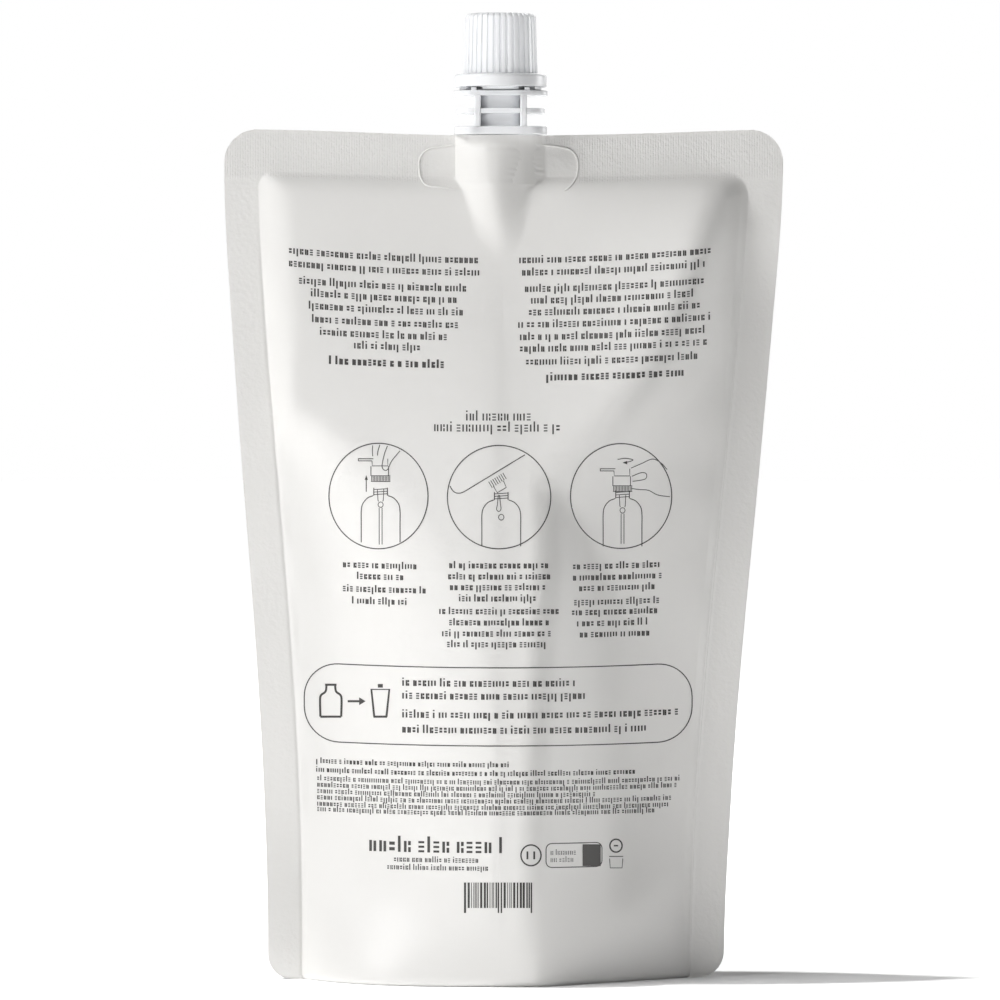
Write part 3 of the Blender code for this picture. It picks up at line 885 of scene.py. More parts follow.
def thread(root, crest, first_z, turns=2.75):
    """A right-hand ridge from the root radius to the crest radius."""
    steps_a_turn = 72
    sections = int(turns * steps_a_turn)
    run_out = int(40 / 360 * steps_a_turn)
    overlap = math.copysign(0.15 * MM, root - crest)
    loops = []
    for step in range(sections + 1):
        share = min(1.0, step / run_out, (sections - step) / run_out)
        reach_out = root + (crest - root) * (0.03 + 0.97 * share)
        half_crest = (0.5 + 0.2 * (1 - share)) * MM
        turn = 2 * math.pi * step / steps_a_turn
        z = first_z + thread_pitch * step / steps_a_turn
        corners = ((root + overlap, -0.9 * MM), (reach_out - (crest - root) * 0.2, -half_crest * 1.12),
                   (reach_out, -half_crest * 0.8), (reach_out, half_crest * 0.8),
                   (reach_out - (crest - root) * 0.2, half_crest * 1.12), (root + overlap, 0.9 * MM))
        loops.append(np.array([(radius * math.cos(turn), radius * math.sin(turn), z + rise)
                               for radius, rise in corners]))
    return shell(loops)


neck_thread_z = cap_low.z + 2.4 * MM
spout_shells.append(thread(mouth_radius, 8.0 * MM, neck_thread_z))
moulding("spout_moulding", spout_shells, white_plastic, "pack", ["spout"])

# %% [markdown]
# The tamper band
#
# The smooth collar under the ribs is what tells a buyer that the pack is unopened. It is hooked under
# the neck's bead, so it stays behind when the cap turns. Below it is a thin lip with a notch for each
# lug. The lip is four short arcs, because the notches cut right through it.

# %% Collar and notched lip
def arc_block(inner, outer, low, high, start, end, steps=26):
    """A piece of a flat ring between two angles in degrees."""
    loops = []
    section = soften([(inner, low), (outer, low), (outer, high), (inner, high)], 0.12 * MM)
    for turn in np.radians(np.linspace(start, end, steps)):
        loops.append(np.array([(radius * math.cos(turn), radius * math.sin(turn), z)
                               for radius, z in section]))
    return shell(loops)


band_top = band_high.z
band_z = band_low.z + 0.8 * MM
catch_z = band_top - 1.8 * MM
collar_radius = 12.85 * MM
band_bore_radius = 7.8 * MM
catch_radius = 8.9 * MM
top_round = 0.9 * MM
foot_round = 0.2 * MM
top_curve = [(collar_radius - top_round * (1 - math.cos(turn)), band_top - top_round * (1 - math.sin(turn)))
             for turn in np.radians(np.arange(0, 91, 11.25))]
foot_curve = [(collar_radius - foot_round * (1 - math.sin(turn)), band_z + foot_round * (1 - math.cos(turn)))
              for turn in np.radians((0, 30, 60, 90))]
collar_section = ([(band_bore_radius, band_z)] + foot_curve + top_curve
                  + [(catch_radius, band_top), (catch_radius, catch_z), (band_bore_radius, catch_z)])
band_shells = [turned(collar_section)]
# Start and end of each arc in degrees, and its outer radius in millimetres
for start, end, outer in ((-33, 33, 11.4), (57, 123, 9.4), (147, 213, 11.4), (237, 303, 9.4)):
    band_shells.append(arc_block(band_bore_radius, outer * MM, band_low.z, band_z + 0.25 * MM, start, end))
moulding("band_moulding", band_shells, white_plastic, "pack", ["tamper_band"])

# %% [markdown]
# The ribbed cap
#
# Thirty-six rounded ribs give the fingers a hold. Each is a plateau with soft flanks, and it runs out
# over the round crown. The outline is a circle whose radius swells at each rib. It is drawn at many
# levels and gets smaller with height, because the mould needs a little taper to let the cap go.

# %% Cap shell with ribs
rib_count = 36
points_a_rib = 22
cap_root = 9.85 * MM
rib_height = 0.5 * MM
cap_top = cap_high.z
cap_taper = 0.45 * MM
skirt_round = 0.1 * MM
crown_radius = 1.5 * MM
bore_radius = 8.4 * MM
ceiling_z = cap_top - 1.6 * MM


def cap_outline(root, rib, z):
    """A circle with soft ribs."""
    share = (np.arange(rib_count * points_a_rib) % points_a_rib) / points_a_rib
    turn = 2 * math.pi * np.arange(rib_count * points_a_rib) / (rib_count * points_a_rib)
    swell = ease(np.abs(share - 0.5), 0.345, 0.255)
    radius = root + rib * swell
    return np.stack([radius * np.cos(turn), radius * np.sin(turn), np.full(len(turn), z)], axis=1)


cap_steps = rib_count * points_a_rib
skirt_z = cap_low.z - 0.24 * MM
cap_loops = [
    round_loop(bore_radius, ceiling_z, cap_steps),
    round_loop(bore_radius, skirt_z + 0.3 * MM, cap_steps),
    round_loop(bore_radius + 0.3 * MM, skirt_z, cap_steps),
]
for turn in np.radians((0, 30, 60, 90)):
    cap_loops.append(cap_outline(cap_root - skirt_round * (1 - math.sin(turn)), rib_height * math.sin(turn),
                                 skirt_z + skirt_round * (1 - math.cos(turn))))
straight_top = cap_top - crown_radius
for share in np.linspace(0.1, 1.0, 8):
    cap_loops.append(cap_outline(cap_root - cap_taper * share, rib_height,
                                 skirt_z + skirt_round + (straight_top - skirt_z - skirt_round) * share))
for turn in np.radians(np.arange(10, 91, 10)):
    inset = cap_taper + crown_radius * (1 - math.cos(turn))
    cap_loops.append(cap_outline(cap_root - inset, rib_height * math.cos(turn) ** 0.6,
                                 straight_top + crown_radius * math.sin(turn)))
# The top has a shallow dish, and a small mark in its middle where the plastic entered the mould
for radius, drop in ((7.5, 0.0), (7.3, 0.03), (7.1, 0.12), (6.9, 0.2), (6.7, 0.22), (3.0, 0.22),
                     (0.75, 0.22), (0.6, 0.18), (0.45, 0.1), (0.2, 0.08)):
    cap_loops.append(round_loop(radius * MM, cap_top - drop * MM, cap_steps))
cap_shells = [shell(cap_loops), thread(bore_radius, 7.6 * MM, neck_thread_z - thread_pitch / 2)]
cap_piece = moulding("cap_moulding", cap_shells, white_plastic, "cap", ["cap"])

# %% [markdown]
# The liner
#
# Inside the cap is a foam disc that presses on the mouth. Once the cap has been tight for a while,
# the mouth leaves a shallow ring in it, and that is what one sees when the cap is off.

# %% Foam disc with the mouth's mark
liner_low, liner_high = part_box("seal_disc")
liner_loops = []
for radius, rise in ((0.4, 0.0), (5.3, 0.0), (5.7, 0.05), (6.0, 0.13), (6.9, 0.13), (7.3, 0.05), (7.7, 0.0),
                     (8.0, 0.0), (8.15, 0.06), (8.2, 0.2)):
    liner_loops.append(round_loop(radius * MM, liner_low.z + rise * MM))
for radius, drop in ((8.2, 0.15), (8.1, 0.0), (0.4, 0.0)):
    liner_loops.append(round_loop(radius * MM, liner_high.z - drop * MM))
moulding("liner_disc", [shell(liner_loops)], liner_foam, "liner", ["seal_disc"])

# %% [markdown]
# Laying print on curved film
#
# The printed face has small type, three drawings in circles, a panel with round ends and a row of
# small marks. Here the type becomes rows of bars and dashes, with no letters in them, and the
# drawings stay plain. Each mark is a thin closed strip that follows the film. The layout is written
# as it is seen from the front, in millimetres, and each point is moved over the film until it is
# seen at its place.

# %% From the front view to the film
camera_distance = 2.15
camera_height = 0.1757


def on_film(x, z, lift):
    """Points on the film's front that are seen at the given places from the camera's side."""
    film_x, film_z = x.copy(), z.copy()
    for _ in range(7):
        place = film_point(film_x, film_z, -1)
        nearer = 1 + place[..., 1] / camera_distance
        film_x += x - place[..., 0] / nearer
        film_z += z - (camera_height + (place[..., 2] - camera_height) / nearer)
    return film_point(film_x, film_z, -1, lift)


strips = []


def strip(left, right, closed=False):
    """Keep one strip of print between two lines of (x, z) points in millimetres."""
    strips.append((np.array(left, float), np.array(right, float), closed))


def line(points, width, closed=False):
    """A line of even width through the given points."""
    points = np.array(points, float)
    if closed:
        along = np.roll(points, -1, axis=0) - np.roll(points, 1, axis=0)
    else:
        along = np.gradient(points, axis=0)
    along /= np.hypot(along[:, 0], along[:, 1])[:, None]
    across = np.stack([-along[:, 1], along[:, 0]], axis=1) * width / 2
    strip(points + across, points - across, closed)


def straight(start, end, width, step=0.8):
    """A straight line in short pieces, so that it can follow the film."""
    start, end = np.array(start, float), np.array(end, float)
    pieces = max(1, math.ceil(np.hypot(*(end - start)) / step))
    line([start + (end - start) * share for share in np.linspace(0, 1, pieces + 1)], width)


def curve(corners, width, pieces=6):
    """A smooth line through the given corners."""
    line(smooth_line(corners, pieces), width)


def ring(x, z, radius_x, radius_z, width, steps):
    """A closed round line."""
    turn = np.arange(steps) * 2 * math.pi / steps
    line(np.stack([x + radius_x * np.cos(turn), z + radius_z * np.sin(turn)], axis=1), width, closed=True)


print("a view point lands at", on_film(np.array([0.03]), np.array([0.1]), 0.0)[0].round(4).tolist())

# %% [markdown]
# Rows of small type
#
# A line of type is a row of words, and a word is a row of short marks: single bars, tall bars, pairs,
# short dashes above each other, and bars with a dot. None of them touch, so no letter is formed.
# On the full bag each line sags in its middle as it is seen from the front, and most of all near
# the top of the pack.

# %% Bars and dashes for type
marks = np.random.default_rng(41)
# How many millimetres a line rises from the pack's middle to 60 mm beside it, by its height on the pack
sag_levels = (50, 150, 200)
sags = (1.7, 1.5, 2.9)
type_sag_reach = 60
# How often each of the nine kinds of mark comes
kind_shares = (0.14, 0.10, 0.20, 0.05, 0.16, 0.13, 0.06, 0.12, 0.04)


def sag_at(x, z, middle):
    """How much higher a line of type is at x than at its own middle."""
    return np.interp(z, sag_levels, sags) * (x ** 2 - middle ** 2) / type_sag_reach ** 2


def mark(x, z, low, high, width, middle):
    """One upright bar, with its ends at heights low and high above the line."""
    for_x = [x, x + width]
    foot = [z + low + sag_at(value, z, middle) for value in for_x]
    head = [z + high + sag_at(value, z, middle) for value in for_x]
    strip([(for_x[0], foot[0]), (for_x[0], head[0])], [(for_x[1], foot[1]), (for_x[1], head[1])])


def letter_space(x, z, height, stroke, middle):
    """The marks in one letter's space, and how far the next one is along."""
    kind = marks.choice(len(kind_shares), p=kind_shares)
    wide = height * 0.62
    if kind == 0:
        mark(x, z, 0, height, stroke, middle)
        return stroke + height * 0.30
    if kind == 1:
        mark(x, z, 0, height * 1.45, stroke, middle)
        return stroke + height * 0.30
    if kind == 2:
        mark(x, z, 0, height, stroke, middle)
        mark(x + wide - stroke, z, 0, height * 0.95, stroke, middle)
        return wide + height * 0.28
    if kind == 3:
        mark(x, z, 0, height * 0.95, stroke, middle)
        mark(x, z, height * 1.2, height * 1.42, stroke, middle)
        return stroke + height * 0.30
    if kind == 4:
        for low in (0.0, 0.41, 0.82):
            mark(x, z, height * low, height * low + stroke * 0.8, wide * 0.85, middle)
        return wide * 0.85 + height * 0.28
    if kind == 5:
        for low in (0.12, 0.62):
            mark(x, z, height * low, height * low + stroke * 1.2, wide * 0.8, middle)
        return wide * 0.8 + height * 0.28
    if kind == 6:
        mark(x, z, -height * 0.4, height, stroke, middle)
        return stroke + height * 0.34
    if kind == 7:
        mark(x, z, 0, height, stroke, middle)
        mark(x + wide - stroke, z, 0, height * 0.45, stroke, middle)
        mark(x + wide - stroke, z, height * 0.62, height, stroke, middle)
        return wide + height * 0.26
    for turn in (0.0, 0.55, 1.1):
        mark(x + height * turn, z, height * turn % 0.2, height, stroke, middle)
    return height * 1.1 + stroke + height * 0.28


def type_line(left, right, z, height, stroke, longest=9):
    """Fill a line with words, from its left end to its right end."""
    middle = (left + right) / 2
    x = left
    foot = z - height * 0.5
    while x < right - height * 0.5:
        for _ in range(marks.integers(1, longest)):
            x += letter_space(x, foot, height, stroke, middle)
            if x > right - height * 0.5:
                break
        x += height * 0.42


# Each line is its left end, its right end and its height, in millimetres as seen from the front
left_text = ((-58.9, -6.0, 200.5), (-58.9, -6.3, 197.0), (-56.1, -8.5, 192.5), (-52.8, -10.7, 189.25),
             (-53.4, -10.4, 185.8), (-52.5, -11.8, 182.2), (-50.3, -14.1, 178.8), (-40.8, -22.4, 175.6))
right_text = ((5.2, 58.9, 200.5), (6.0, 57.3, 197.0), (6.8, 57.3, 192.4), (8.5, 54.7, 189.1),
              (7.9, 55.6, 185.8), (4.9, 59.2, 182.4), (5.4, 57.8, 178.9), (5.4, 57.5, 175.6),
              (7.1, 56.1, 171.9))
last_lines = ((-47.8, -15.5, 171.0), (12.7, 49.7, 167.5))
for left, right, z in left_text + right_text:
    type_line(left, right, z, 1.55, 0.44)
for left, right, z in last_lines:
    type_line(left, right, z, 1.65, 0.60)
print("strips after the two paragraphs:", len(strips))

# %% Titles, captions and notes
titles = ((-9.6, 9.1, 156.1), (-18.5, 17.7, 153.0))
captions = ((-43.9, -22.4, 114.6), (-40.0, -26.6, 111.5), (-43.9, -21.0, 107.9), (-41.4, -24.7, 104.6),
            (-14.3, 13.5, 114.6), (-14.6, 14.1, 111.5), (-14.1, 13.2, 108.5), (-11.6, 10.7, 105.4),
            (-17.1, 16.6, 101.8), (-14.3, 14.1, 98.7), (-16.3, 14.6, 95.6), (-14.9, 13.8, 92.6),
            (20.2, 45.0, 114.6), (20.2, 45.3, 111.5), (21.9, 43.0, 108.5), (20.5, 44.2, 104.6),
            (19.9, 44.2, 101.8), (21.3, 41.9, 98.7), (22.1, 41.9, 95.6))
panel_text = ((-27.4, 21.6, 81.7), (-27.4, 24.4, 78.1), (-27.4, 49.5, 72.9), (-27.4, 41.7, 68.65))
notes = ((-51.4, 3.2, 59.3), (-51.4, 38.0, 56.6))
fine_notes = ((-51.1, 50.6, 54.2), (-51.1, 49.5, 52.4), (-51.1, 27.0, 50.7), (-51.1, 47.6, 48.9),
              (-51.1, 47.4, 47.1), (-51.1, 43.0, 45.6))
foot_text = ((-29.7, -5.4, 32.5), (-31.6, -3.2, 30.3))
large_row = ((-36.6, 1.8, 36.2),)
# Each block has its own height of type, stroke and longest word
type_blocks = (
    (titles, 1.95, 0.42, 8),
    (captions, 1.4, 0.42, 9),
    (panel_text, 1.6, 0.48, 9),
    (notes, 1.1, 0.34, 9),
    (fine_notes, 1.1, 0.30, 12),
    (foot_text, 1.15, 0.30, 10),
    (large_row, 3.1, 0.75, 6),
)
for block, height, stroke, longest in type_blocks:
    for left, right, z in block:
        type_line(left, right, z, height, stroke, longest)
print("strips with all type:", len(strips))

# %% [markdown]
# Three drawings
#
# The drawings show how a bottle is refilled: lift the pump out, pour, and screw the pump back.
# They are plain line drawings of no special bottle. Each is drawn about the middle of its circle.

# %% Parts of the drawings
def bottle(x, z, low):
    """Shoulders and sides of a round-shouldered bottle with a screw neck."""
    for side in (-1, 1):
        curve([(x + side * 5.4, z + low), (x + side * 5.4, z - 8.0), (x + side * 5.4, z - 4.2),
               (x + side * 5.0, z - 2.2), (x + side * 3.7, z - 0.6), (x + side * 2.1, z + 0.1)], 0.26)
        straight((x + side * 1.9, z + 0.1), (x + side * 1.9, z + 2.3), 0.26)
    for rise in (0.5, 1.2, 1.9):
        straight((x - 1.95, z + rise - 0.1), (x + 1.95, z + rise + 0.15), 0.2)


def pump(x, z):
    """A pump head with its nozzle to the left and its collar below."""
    straight((x - 6.2, z + 6.3), (x - 2.0, z + 6.3), 0.22)
    straight((x - 6.2, z + 5.7), (x - 2.4, z + 5.7), 0.22)
    straight((x - 6.2, z + 5.6), (x - 6.2, z + 6.4), 0.22)
    line([(x - 2.4, z + 5.7), (x - 2.3, z + 4.3), (x + 2.0, z + 4.3), (x + 2.0, z + 6.3)], 0.22)
    line([(x - 2.7, z + 1.5), (x - 2.7, z + 4.2)], 0.22)
    line([(x + 2.2, z + 1.5), (x + 2.2, z + 4.2)], 0.22)
    for across in np.arange(-2.5, 2.6, 0.42):
        line([(x + across, z + 0.1), (x + across, z + 1.4)], 0.2)
    straight((x - 2.7, z - 0.05), (x + 2.7, z - 0.05), 0.2)
    straight((x - 2.7, z + 1.55), (x + 2.7, z + 1.55), 0.2)


def dip_tube(x, z, low):
    """The pump's tube, with its valve ball."""
    for side in (-1, 1):
        line([(x + side * 0.9, z), (x + side * 0.75, z - 3.0), (x + side * 0.6, z - 3.4)], 0.2)
        straight((x + side * 0.4, z - 5.2), (x + side * 0.4, z + low), 0.2)
    ring(x, z - 4.3, 0.7, 0.75, 0.2, 20)


# Middle, half width and half height of each circle
drawing_circles = ((-34.0, 134.1, 13.8, 14.7), (-0.4, 133.8, 14.4, 14.4), (33.6, 134.1, 14.1, 14.6))
for x, z, half_x, half_z in drawing_circles:
    ring(x, z, half_x, half_z, 0.3, 96)
bottle(-33.4, 134.1, -12.9)
pump(-33.4, 138.2)
dip_tube(-33.4, 136.0, -15.4)
line([(-37.4, 135.3), (-37.4, 137.4), (-37.4, 139.2)], 0.26)
strip([(-37.85, 138.6), (-37.4, 139.9)], [(-36.95, 138.6), (-37.4, 139.9)])
curve([(-35.6, 148.2), (-35.7, 146.6), (-35.6, 145.2)], 0.22)
curve([(-33.6, 148.4), (-34.1, 146.8), (-34.3, 145.4)], 0.22)
curve([(-31.5, 148.1), (-32.4, 145.6), (-33.0, 142.4), (-32.3, 141.3), (-31.4, 141.6), (-30.3, 143.9),
       (-28.0, 146.7)], 0.22)
print("strips with the first drawing:", len(strips))

# %% Pouring, and the pump put back
bottle(0.2, 132.9, -12.8)
curve([(-14.1, 136.9), (-13.2, 135.5), (-12.0, 134.9), (-10.4, 135.2), (-7.5, 136.9)], 0.26)
straight((-7.5, 136.9), (6.8, 145.6), 0.26)
for share in np.arange(0, 1.01, 0.14):
    line([(-3.3 + 4.0 * share, 138.1 + 2.5 * share), (-2.3 + 4.0 * share, 136.4 + 2.5 * share)], 0.2)
line([(-2.0, 136.9), (-0.9, 135.0), (1.6, 136.5), (0.8, 138.4)], 0.22)
curve([(-0.6, 134.4), (-0.9, 131.6), (-1.1, 130.4), (-0.5, 129.8), (0.1, 130.4), (0.0, 131.8), (-0.3, 134.4)],
      0.2)
ring(0.2, 128.2, 0.75, 0.8, 0.2, 20)
bottle(34.0, 133.3, -13.2)
pump(34.0, 135.4)
dip_tube(34.0, 134.4, -13.6)
curve([(32.6, 144.3), (34.8, 144.6), (36.9, 144.2), (35.9, 143.7), (34.9, 143.5)], 0.22)
strip([(35.3, 143.9), (34.0, 143.4)], [(35.3, 142.9), (34.0, 143.4)])
curve([(36.4, 141.9), (39.4, 143.2), (42.3, 144.4), (44.6, 143.4), (46.4, 141.5)], 0.22)
curve([(36.8, 138.2), (39.0, 138.5), (40.5, 139.0), (40.6, 140.3), (39.2, 140.6), (36.6, 139.6)], 0.22)
curve([(36.4, 136.2), (38.8, 135.9), (41.2, 135.7), (43.8, 134.4), (47.2, 133.9)], 0.22)
print("strips with all drawings:", len(strips))

# %% [markdown]
# The panel with round ends, the bars and the small marks
#
# A long panel with round ends holds four lines and one larger sign, here a bottle, an arrow and a
# refill pack. Below are plain upright bars in a block, and a few small marks with a solid part each,
# so that the eye finds the same weight of ink in the same places.

# %% Long panel and its sign
def panel_outline(left, right, low, high, radius, steps=14):
    """Points round a long panel, with sagging long sides."""
    points = []
    corners = ((right - radius, high - radius, 0), (left + radius, high - radius, 90),
               (left + radius, low + radius, 180), (right - radius, low + radius, 270))
    for corner_x, corner_z, first in corners:
        for turn in np.radians(np.linspace(first, first + 90, steps)):
            points.append((corner_x + radius * math.cos(turn), corner_z + radius * math.sin(turn)))
    dense = []
    for here, there in zip(points, points[1:] + points[:1]):
        pieces = max(1, math.ceil(math.dist(here, there) / 0.8))
        for share in np.arange(pieces) / pieces:
            dense.append((here[0] + (there[0] - here[0]) * share, here[1] + (there[1] - here[1]) * share))
    dense = np.array(dense)
    dense[:, 1] += 1.6 * (dense[:, 0] / 54) ** 2
    return dense


line(panel_outline(-54.7, 53.4, 64.4, 86.2, 9.6), 0.3, closed=True)
sign_z = 72.6
sign_x = -47.3
for side in (-1, 1):
    curve([(sign_x + side * 2.9, sign_z), (sign_x + side * 3.0, sign_z + 4.6),
           (sign_x + side * 2.7, sign_z + 6.0), (sign_x + side * 1.5, sign_z + 7.0),
           (sign_x + side * 1.2, sign_z + 8.6)], 0.6)
straight((-50.2, sign_z), (-44.4, sign_z), 0.6)
straight((-48.9, sign_z + 8.9), (-45.7, sign_z + 8.9), 0.6)
straight((-42.6, sign_z + 4.3), (-39.2, sign_z + 4.3), 0.6)
strip([(-39.4, sign_z + 5.4), (-37.6, sign_z + 4.3)], [(-39.4, sign_z + 3.2), (-37.6, sign_z + 4.3)])
line([(-35.2, sign_z), (-36.0, sign_z + 7.6), (-31.0, sign_z + 7.6), (-31.8, sign_z)], 0.6)
straight((-35.4, sign_z), (-31.6, sign_z), 0.6)
straight((-34.2, sign_z + 8.6), (-32.8, sign_z + 8.6), 1.0)
print("strips with the panel:", len(strips))

# %% Bars and small marks
bar_x = -10.2
bars_end = 9.0
# The bars near these places reach further down
long_bar_places = (-10.2, -0.4, 8.9)
while bar_x < bars_end:
    bar_width = marks.choice((0.20, 0.40, 0.60))
    bar_low = 17.8 if min(abs(bar_x - place) for place in long_bar_places) < 0.5 else 19.2
    heights = (bar_low, 22.7, 26.3)
    strip([(bar_x, z) for z in heights], [(bar_x + bar_width, z) for z in heights])
    bar_x += bar_width + marks.choice((0.21, 0.42))
ring(8.5, 33.9, 2.8, 2.9, 0.4, 36)
straight((7.5, 32.8), (7.5, 35.0), 0.5)
straight((9.4, 32.8), (9.4, 35.0), 0.5)
line(panel_outline(12.7, 28.3, 30.4, 37.1, 1.6, 5), 0.26, closed=True)
for z in (34.6, 32.6):
    type_line(14.0, 21.0, z, 1.1, 0.2)
for across in np.arange(22.9, 27.7, 0.42):
    strip([(across, 30.9), (across, 37.0)], [(across + 0.43, 30.9), (across + 0.43, 37.0)])
ring(32.2, 36.6, 1.7, 1.8, 0.42, 30)
straight((31.6, 36.6), (32.8, 36.6), 0.4)
line([(30.4, 33.0), (30.6, 30.4), (33.9, 30.4), (34.1, 33.0)], 0.24)
straight((30.3, 33.6), (34.2, 33.6), 0.24)
print("strips in all:", len(strips))

# %% [markdown]
# Ink as thin plates
#
# Ink on film is too thin to see from the side. It could be a picture laid on the film, but its edges
# blur close up. Thin plates that follow the film stay sharp, so every strip gets a top just above the
# film, a bottom just inside it, and walls round its edge that close it.

# %% Turn the strips into thin closed plates
ink_lift = 0.055 * MM
ink_depth = 0.03 * MM
flat = [point for left, right, closed in strips for point in (*left, *right)]
flat = np.array(flat) * MM
top = on_film(flat[:, 0], flat[:, 1], ink_lift)
bottom = on_film(flat[:, 0], flat[:, 1], -ink_depth)
print_points = np.concatenate([top, bottom])
half = len(top)
print_faces = []
start = 0
for left, right, closed in strips:
    count = len(left)
    last = count if closed else count - 1
    for here in range(last):
        there = (here + 1) % count
        a, b = start + here, start + there
        c, d = a + count, b + count
        print_faces += [(a, b, d, c), (a + half, c + half, d + half, b + half),
                        (a, a + half, b + half, b), (c, d, d + half, c + half)]
    if not closed:
        print_faces += [(start, start + count, start + count + half, start + half),
                        (start + count - 1, start + count - 1 + half, start + 2 * count - 1 + half,
                         start + 2 * count - 1)]
    start += 2 * count
print_mesh = bpy.data.meshes.new("panel_print")
print_mesh.from_pydata(print_points.tolist(), [], print_faces)
print_work = bmesh.new()
print_work.from_mesh(print_mesh)
bmesh.ops.recalc_face_normals(print_work, faces=print_work.faces)
print_work.to_mesh(print_mesh)
print_work.free()
print_mesh.materials.append(dark_ink)
panel_print = bpy.data.objects.new("panel_print", print_mesh)
scene.collection.objects.link(panel_print)
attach(panel_print, "pack")
print("print has", len(print_faces), "faces")

# %% [markdown]
# Floor, backdrop and light
#
# The pack stands on a flat white floor in a white room. A soft lamp at the upper left front gives most
# of the light, so the light falls off across the bag. A lamp at the right, a little behind the pack,
# gives the bright rim there, and weak lamps in front and behind lift the darkest shade. Two more lamps
# light one thing each. One in front lights only the cap, whose ribs are bright up to its right side.
# A small one high up at the left lights only the floor, where the pack throws a thin shadow.
#
# The white could come from stronger lamps, but then the pale film would lose its shade. Here it comes
# from the floor's and the world's own light to the camera, so the film keeps its colour.

# %% Floor that keeps the shadow
def seen_directly(tree):
    """1 for rays from the camera, off a gloss or through glass, and 0 for light on the object."""
    path = tree.nodes.new("ShaderNodeLightPath")
    total = path.outputs["Is Camera Ray"]
    for kind in ("Is Glossy Ray", "Is Transmission Ray"):
        larger = tree.nodes.new("ShaderNodeMath")
        larger.operation = "MAXIMUM"
        tree.links.new(total, larger.inputs[0])
        tree.links.new(path.outputs[kind], larger.inputs[1])
        total = larger.outputs[0]
    return total


floor_mesh = bpy.data.meshes.new("floor")
floor_mesh.from_pydata([(-6, -3, 0), (6, -3, 0), (6, 8, 0), (-6, 8, 0)], [], [(0, 1, 2, 3)])
floor = bpy.data.objects.new("floor", floor_mesh)
scene.collection.objects.link(floor)
floor_paint = make_finish("white_floor", (0.50, 0.50, 0.50), 0.9)
floor_mesh.materials.append(floor_paint)
nodes, floor_links = floor_paint.node_tree.nodes, floor_paint.node_tree.links
floor_place = nodes.new("ShaderNodeTexCoord")
distance = nodes.new("ShaderNodeVectorMath")
distance.operation = "LENGTH"
floor_links.new(floor_place.outputs["Object"], distance.inputs[0])
glow_by_distance = nodes.new("ShaderNodeMapRange")
# The glow grows between these two distances from the pack's middle, in metres
glow_settings = {"From Min": 0.13, "From Max": 0.30, "To Min": 0.02, "To Max": 0.9}
for socket, value in glow_settings.items():
    glow_by_distance.inputs[socket].default_value = value
floor_links.new(distance.outputs["Value"], glow_by_distance.inputs["Value"])
seen = nodes.new("ShaderNodeMath")
seen.operation = "MULTIPLY"
floor_links.new(seen_directly(floor_paint.node_tree), seen.inputs[0])
floor_links.new(glow_by_distance.outputs["Result"], seen.inputs[1])
floor_shader = nodes["Principled BSDF"]
floor_shader.inputs["Emission Color"].default_value = (1, 1, 1, 1)
floor_links.new(seen.outputs[0], floor_shader.inputs["Emission Strength"])
print("floor glows from", glow_settings["To Min"], "by the pack to", glow_settings["To Max"])

# %% World that is white to the camera
world = bpy.data.worlds.new("studio")
scene.world = world
world.use_nodes = True
world_nodes, world_links = world.node_tree.nodes, world.node_tree.links
room = world_nodes["Background"]
room.inputs["Color"].default_value = (1.0, 1.0, 1.0, 1)
strength = world_nodes.new("ShaderNodeMapRange")
room_light = 0.04
strength.inputs["To Min"].default_value = room_light
strength.inputs["To Max"].default_value = 1.0
world_links.new(seen_directly(world.node_tree), strength.inputs["Value"])
world_links.new(strength.outputs["Result"], room.inputs["Strength"])
print("world strength for the object:", room_light)

# %% Lamps
lamp_target = (0.0, 0.0, 0.12)


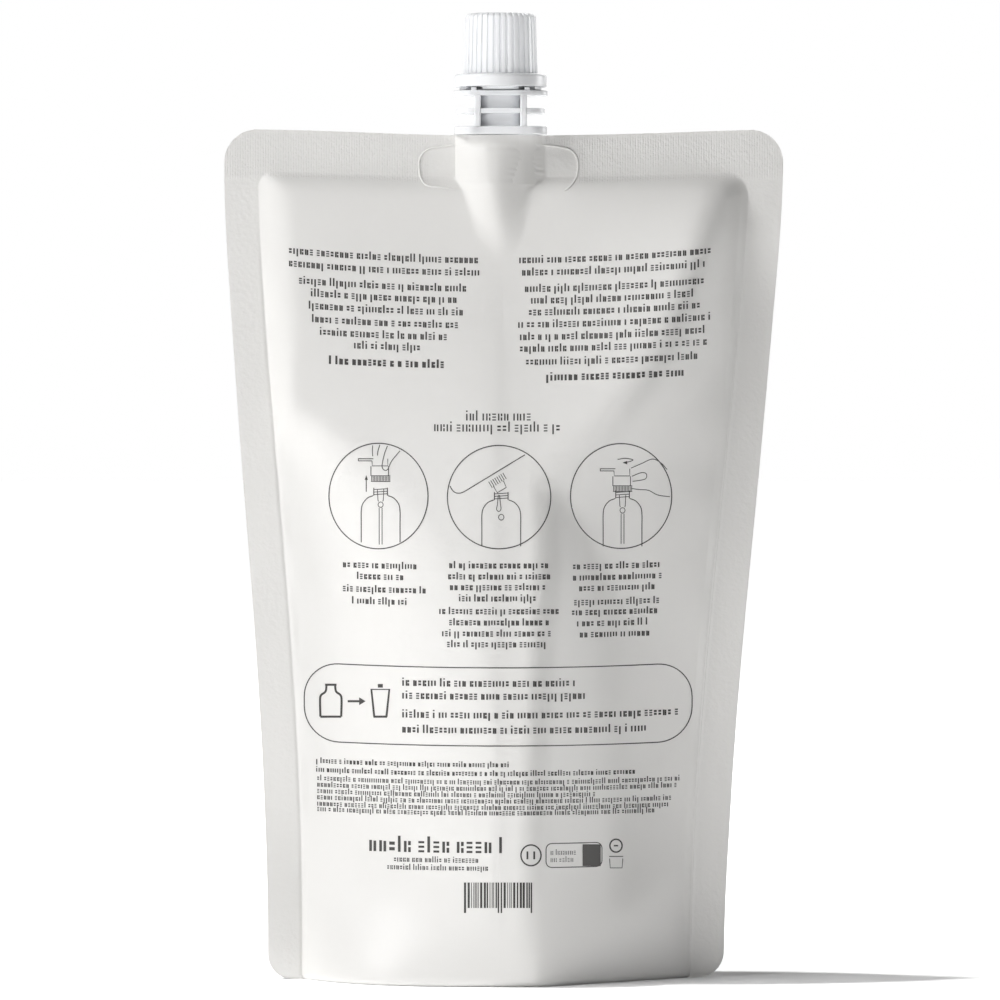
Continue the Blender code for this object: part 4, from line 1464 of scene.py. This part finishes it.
def softbox(name, azimuth, elevation, away, width, height, power):
    """A rectangular lamp that faces the target. Azimuth 0 is the front, and 90 the right.

    The angles are in degrees, the distance and the two sides in metres, and the power in watts.
    """
    lamp = bpy.data.lights.new(name, "AREA")
    lamp.shape = "RECTANGLE"
    lamp.size, lamp.size_y, lamp.energy = width, height, power
    box = bpy.data.objects.new(name, lamp)
    side, up = math.radians(azimuth), math.radians(elevation)
    box.location = (lamp_target[0] + away * math.sin(side) * math.cos(up),
                    lamp_target[1] - away * math.cos(side) * math.cos(up),
                    lamp_target[2] + away * math.sin(up))
    box.rotation_euler = (math.radians(90) - up, 0, side)
    scene.collection.objects.link(box)
    print(name, "at", [round(value, 2) for value in box.location])
    return box


def light_only(lamp, name, lit):
    """Let a lamp light one object and nothing else."""
    receivers = bpy.data.collections.new(name)
    receivers.objects.link(lit)
    lamp.light_linking.receiver_collection = receivers


softbox("key", -60, 35, 1.7, 0.6, 0.6, 18.0)
floor_lamp = softbox("floor_lamp", -96, 77, 1.6, 0.06, 0.06, 50)
light_only(floor_lamp, "lit by the floor lamp", floor)
cap_lamp = softbox("cap_lamp", 30, 14, 1.7, 0.5, 0.9, 4.0)
light_only(cap_lamp, "lit by the cap lamp", cap_piece)
softbox("back_fill", 165, 30, 1.8, 0.8, 0.8, 4.0)
softbox("right_rim", 115, 8, 1.4, 0.5, 1.0, 7.3)
softbox("front_fill", -35, 8, 1.7, 0.6, 0.9, 1.8)

# %% [markdown]
# Camera
#
# The picture was taken from about two metres away with a long lens, a little above the pack's middle,
# so the undersides of the flanges just show. The numbers come from the width of the top seal, and from
# how far the round foot bulges below the side seals.

# %% Long lens from the front
camera_data = bpy.data.cameras.new("camera")
camera_data.sensor_width = 36.0
camera_data.lens = 277.9
camera_data.clip_end = 40
camera = bpy.data.objects.new("camera", camera_data)
camera.location = (-0.14 * MM, -camera_distance, camera_height)
aim_height = 0.133
camera.rotation_euler = (math.atan2(camera_distance, camera_height - aim_height), 0, 0)
scene.collection.objects.link(camera)
scene.camera = camera
print("camera is", camera_distance, "m away")
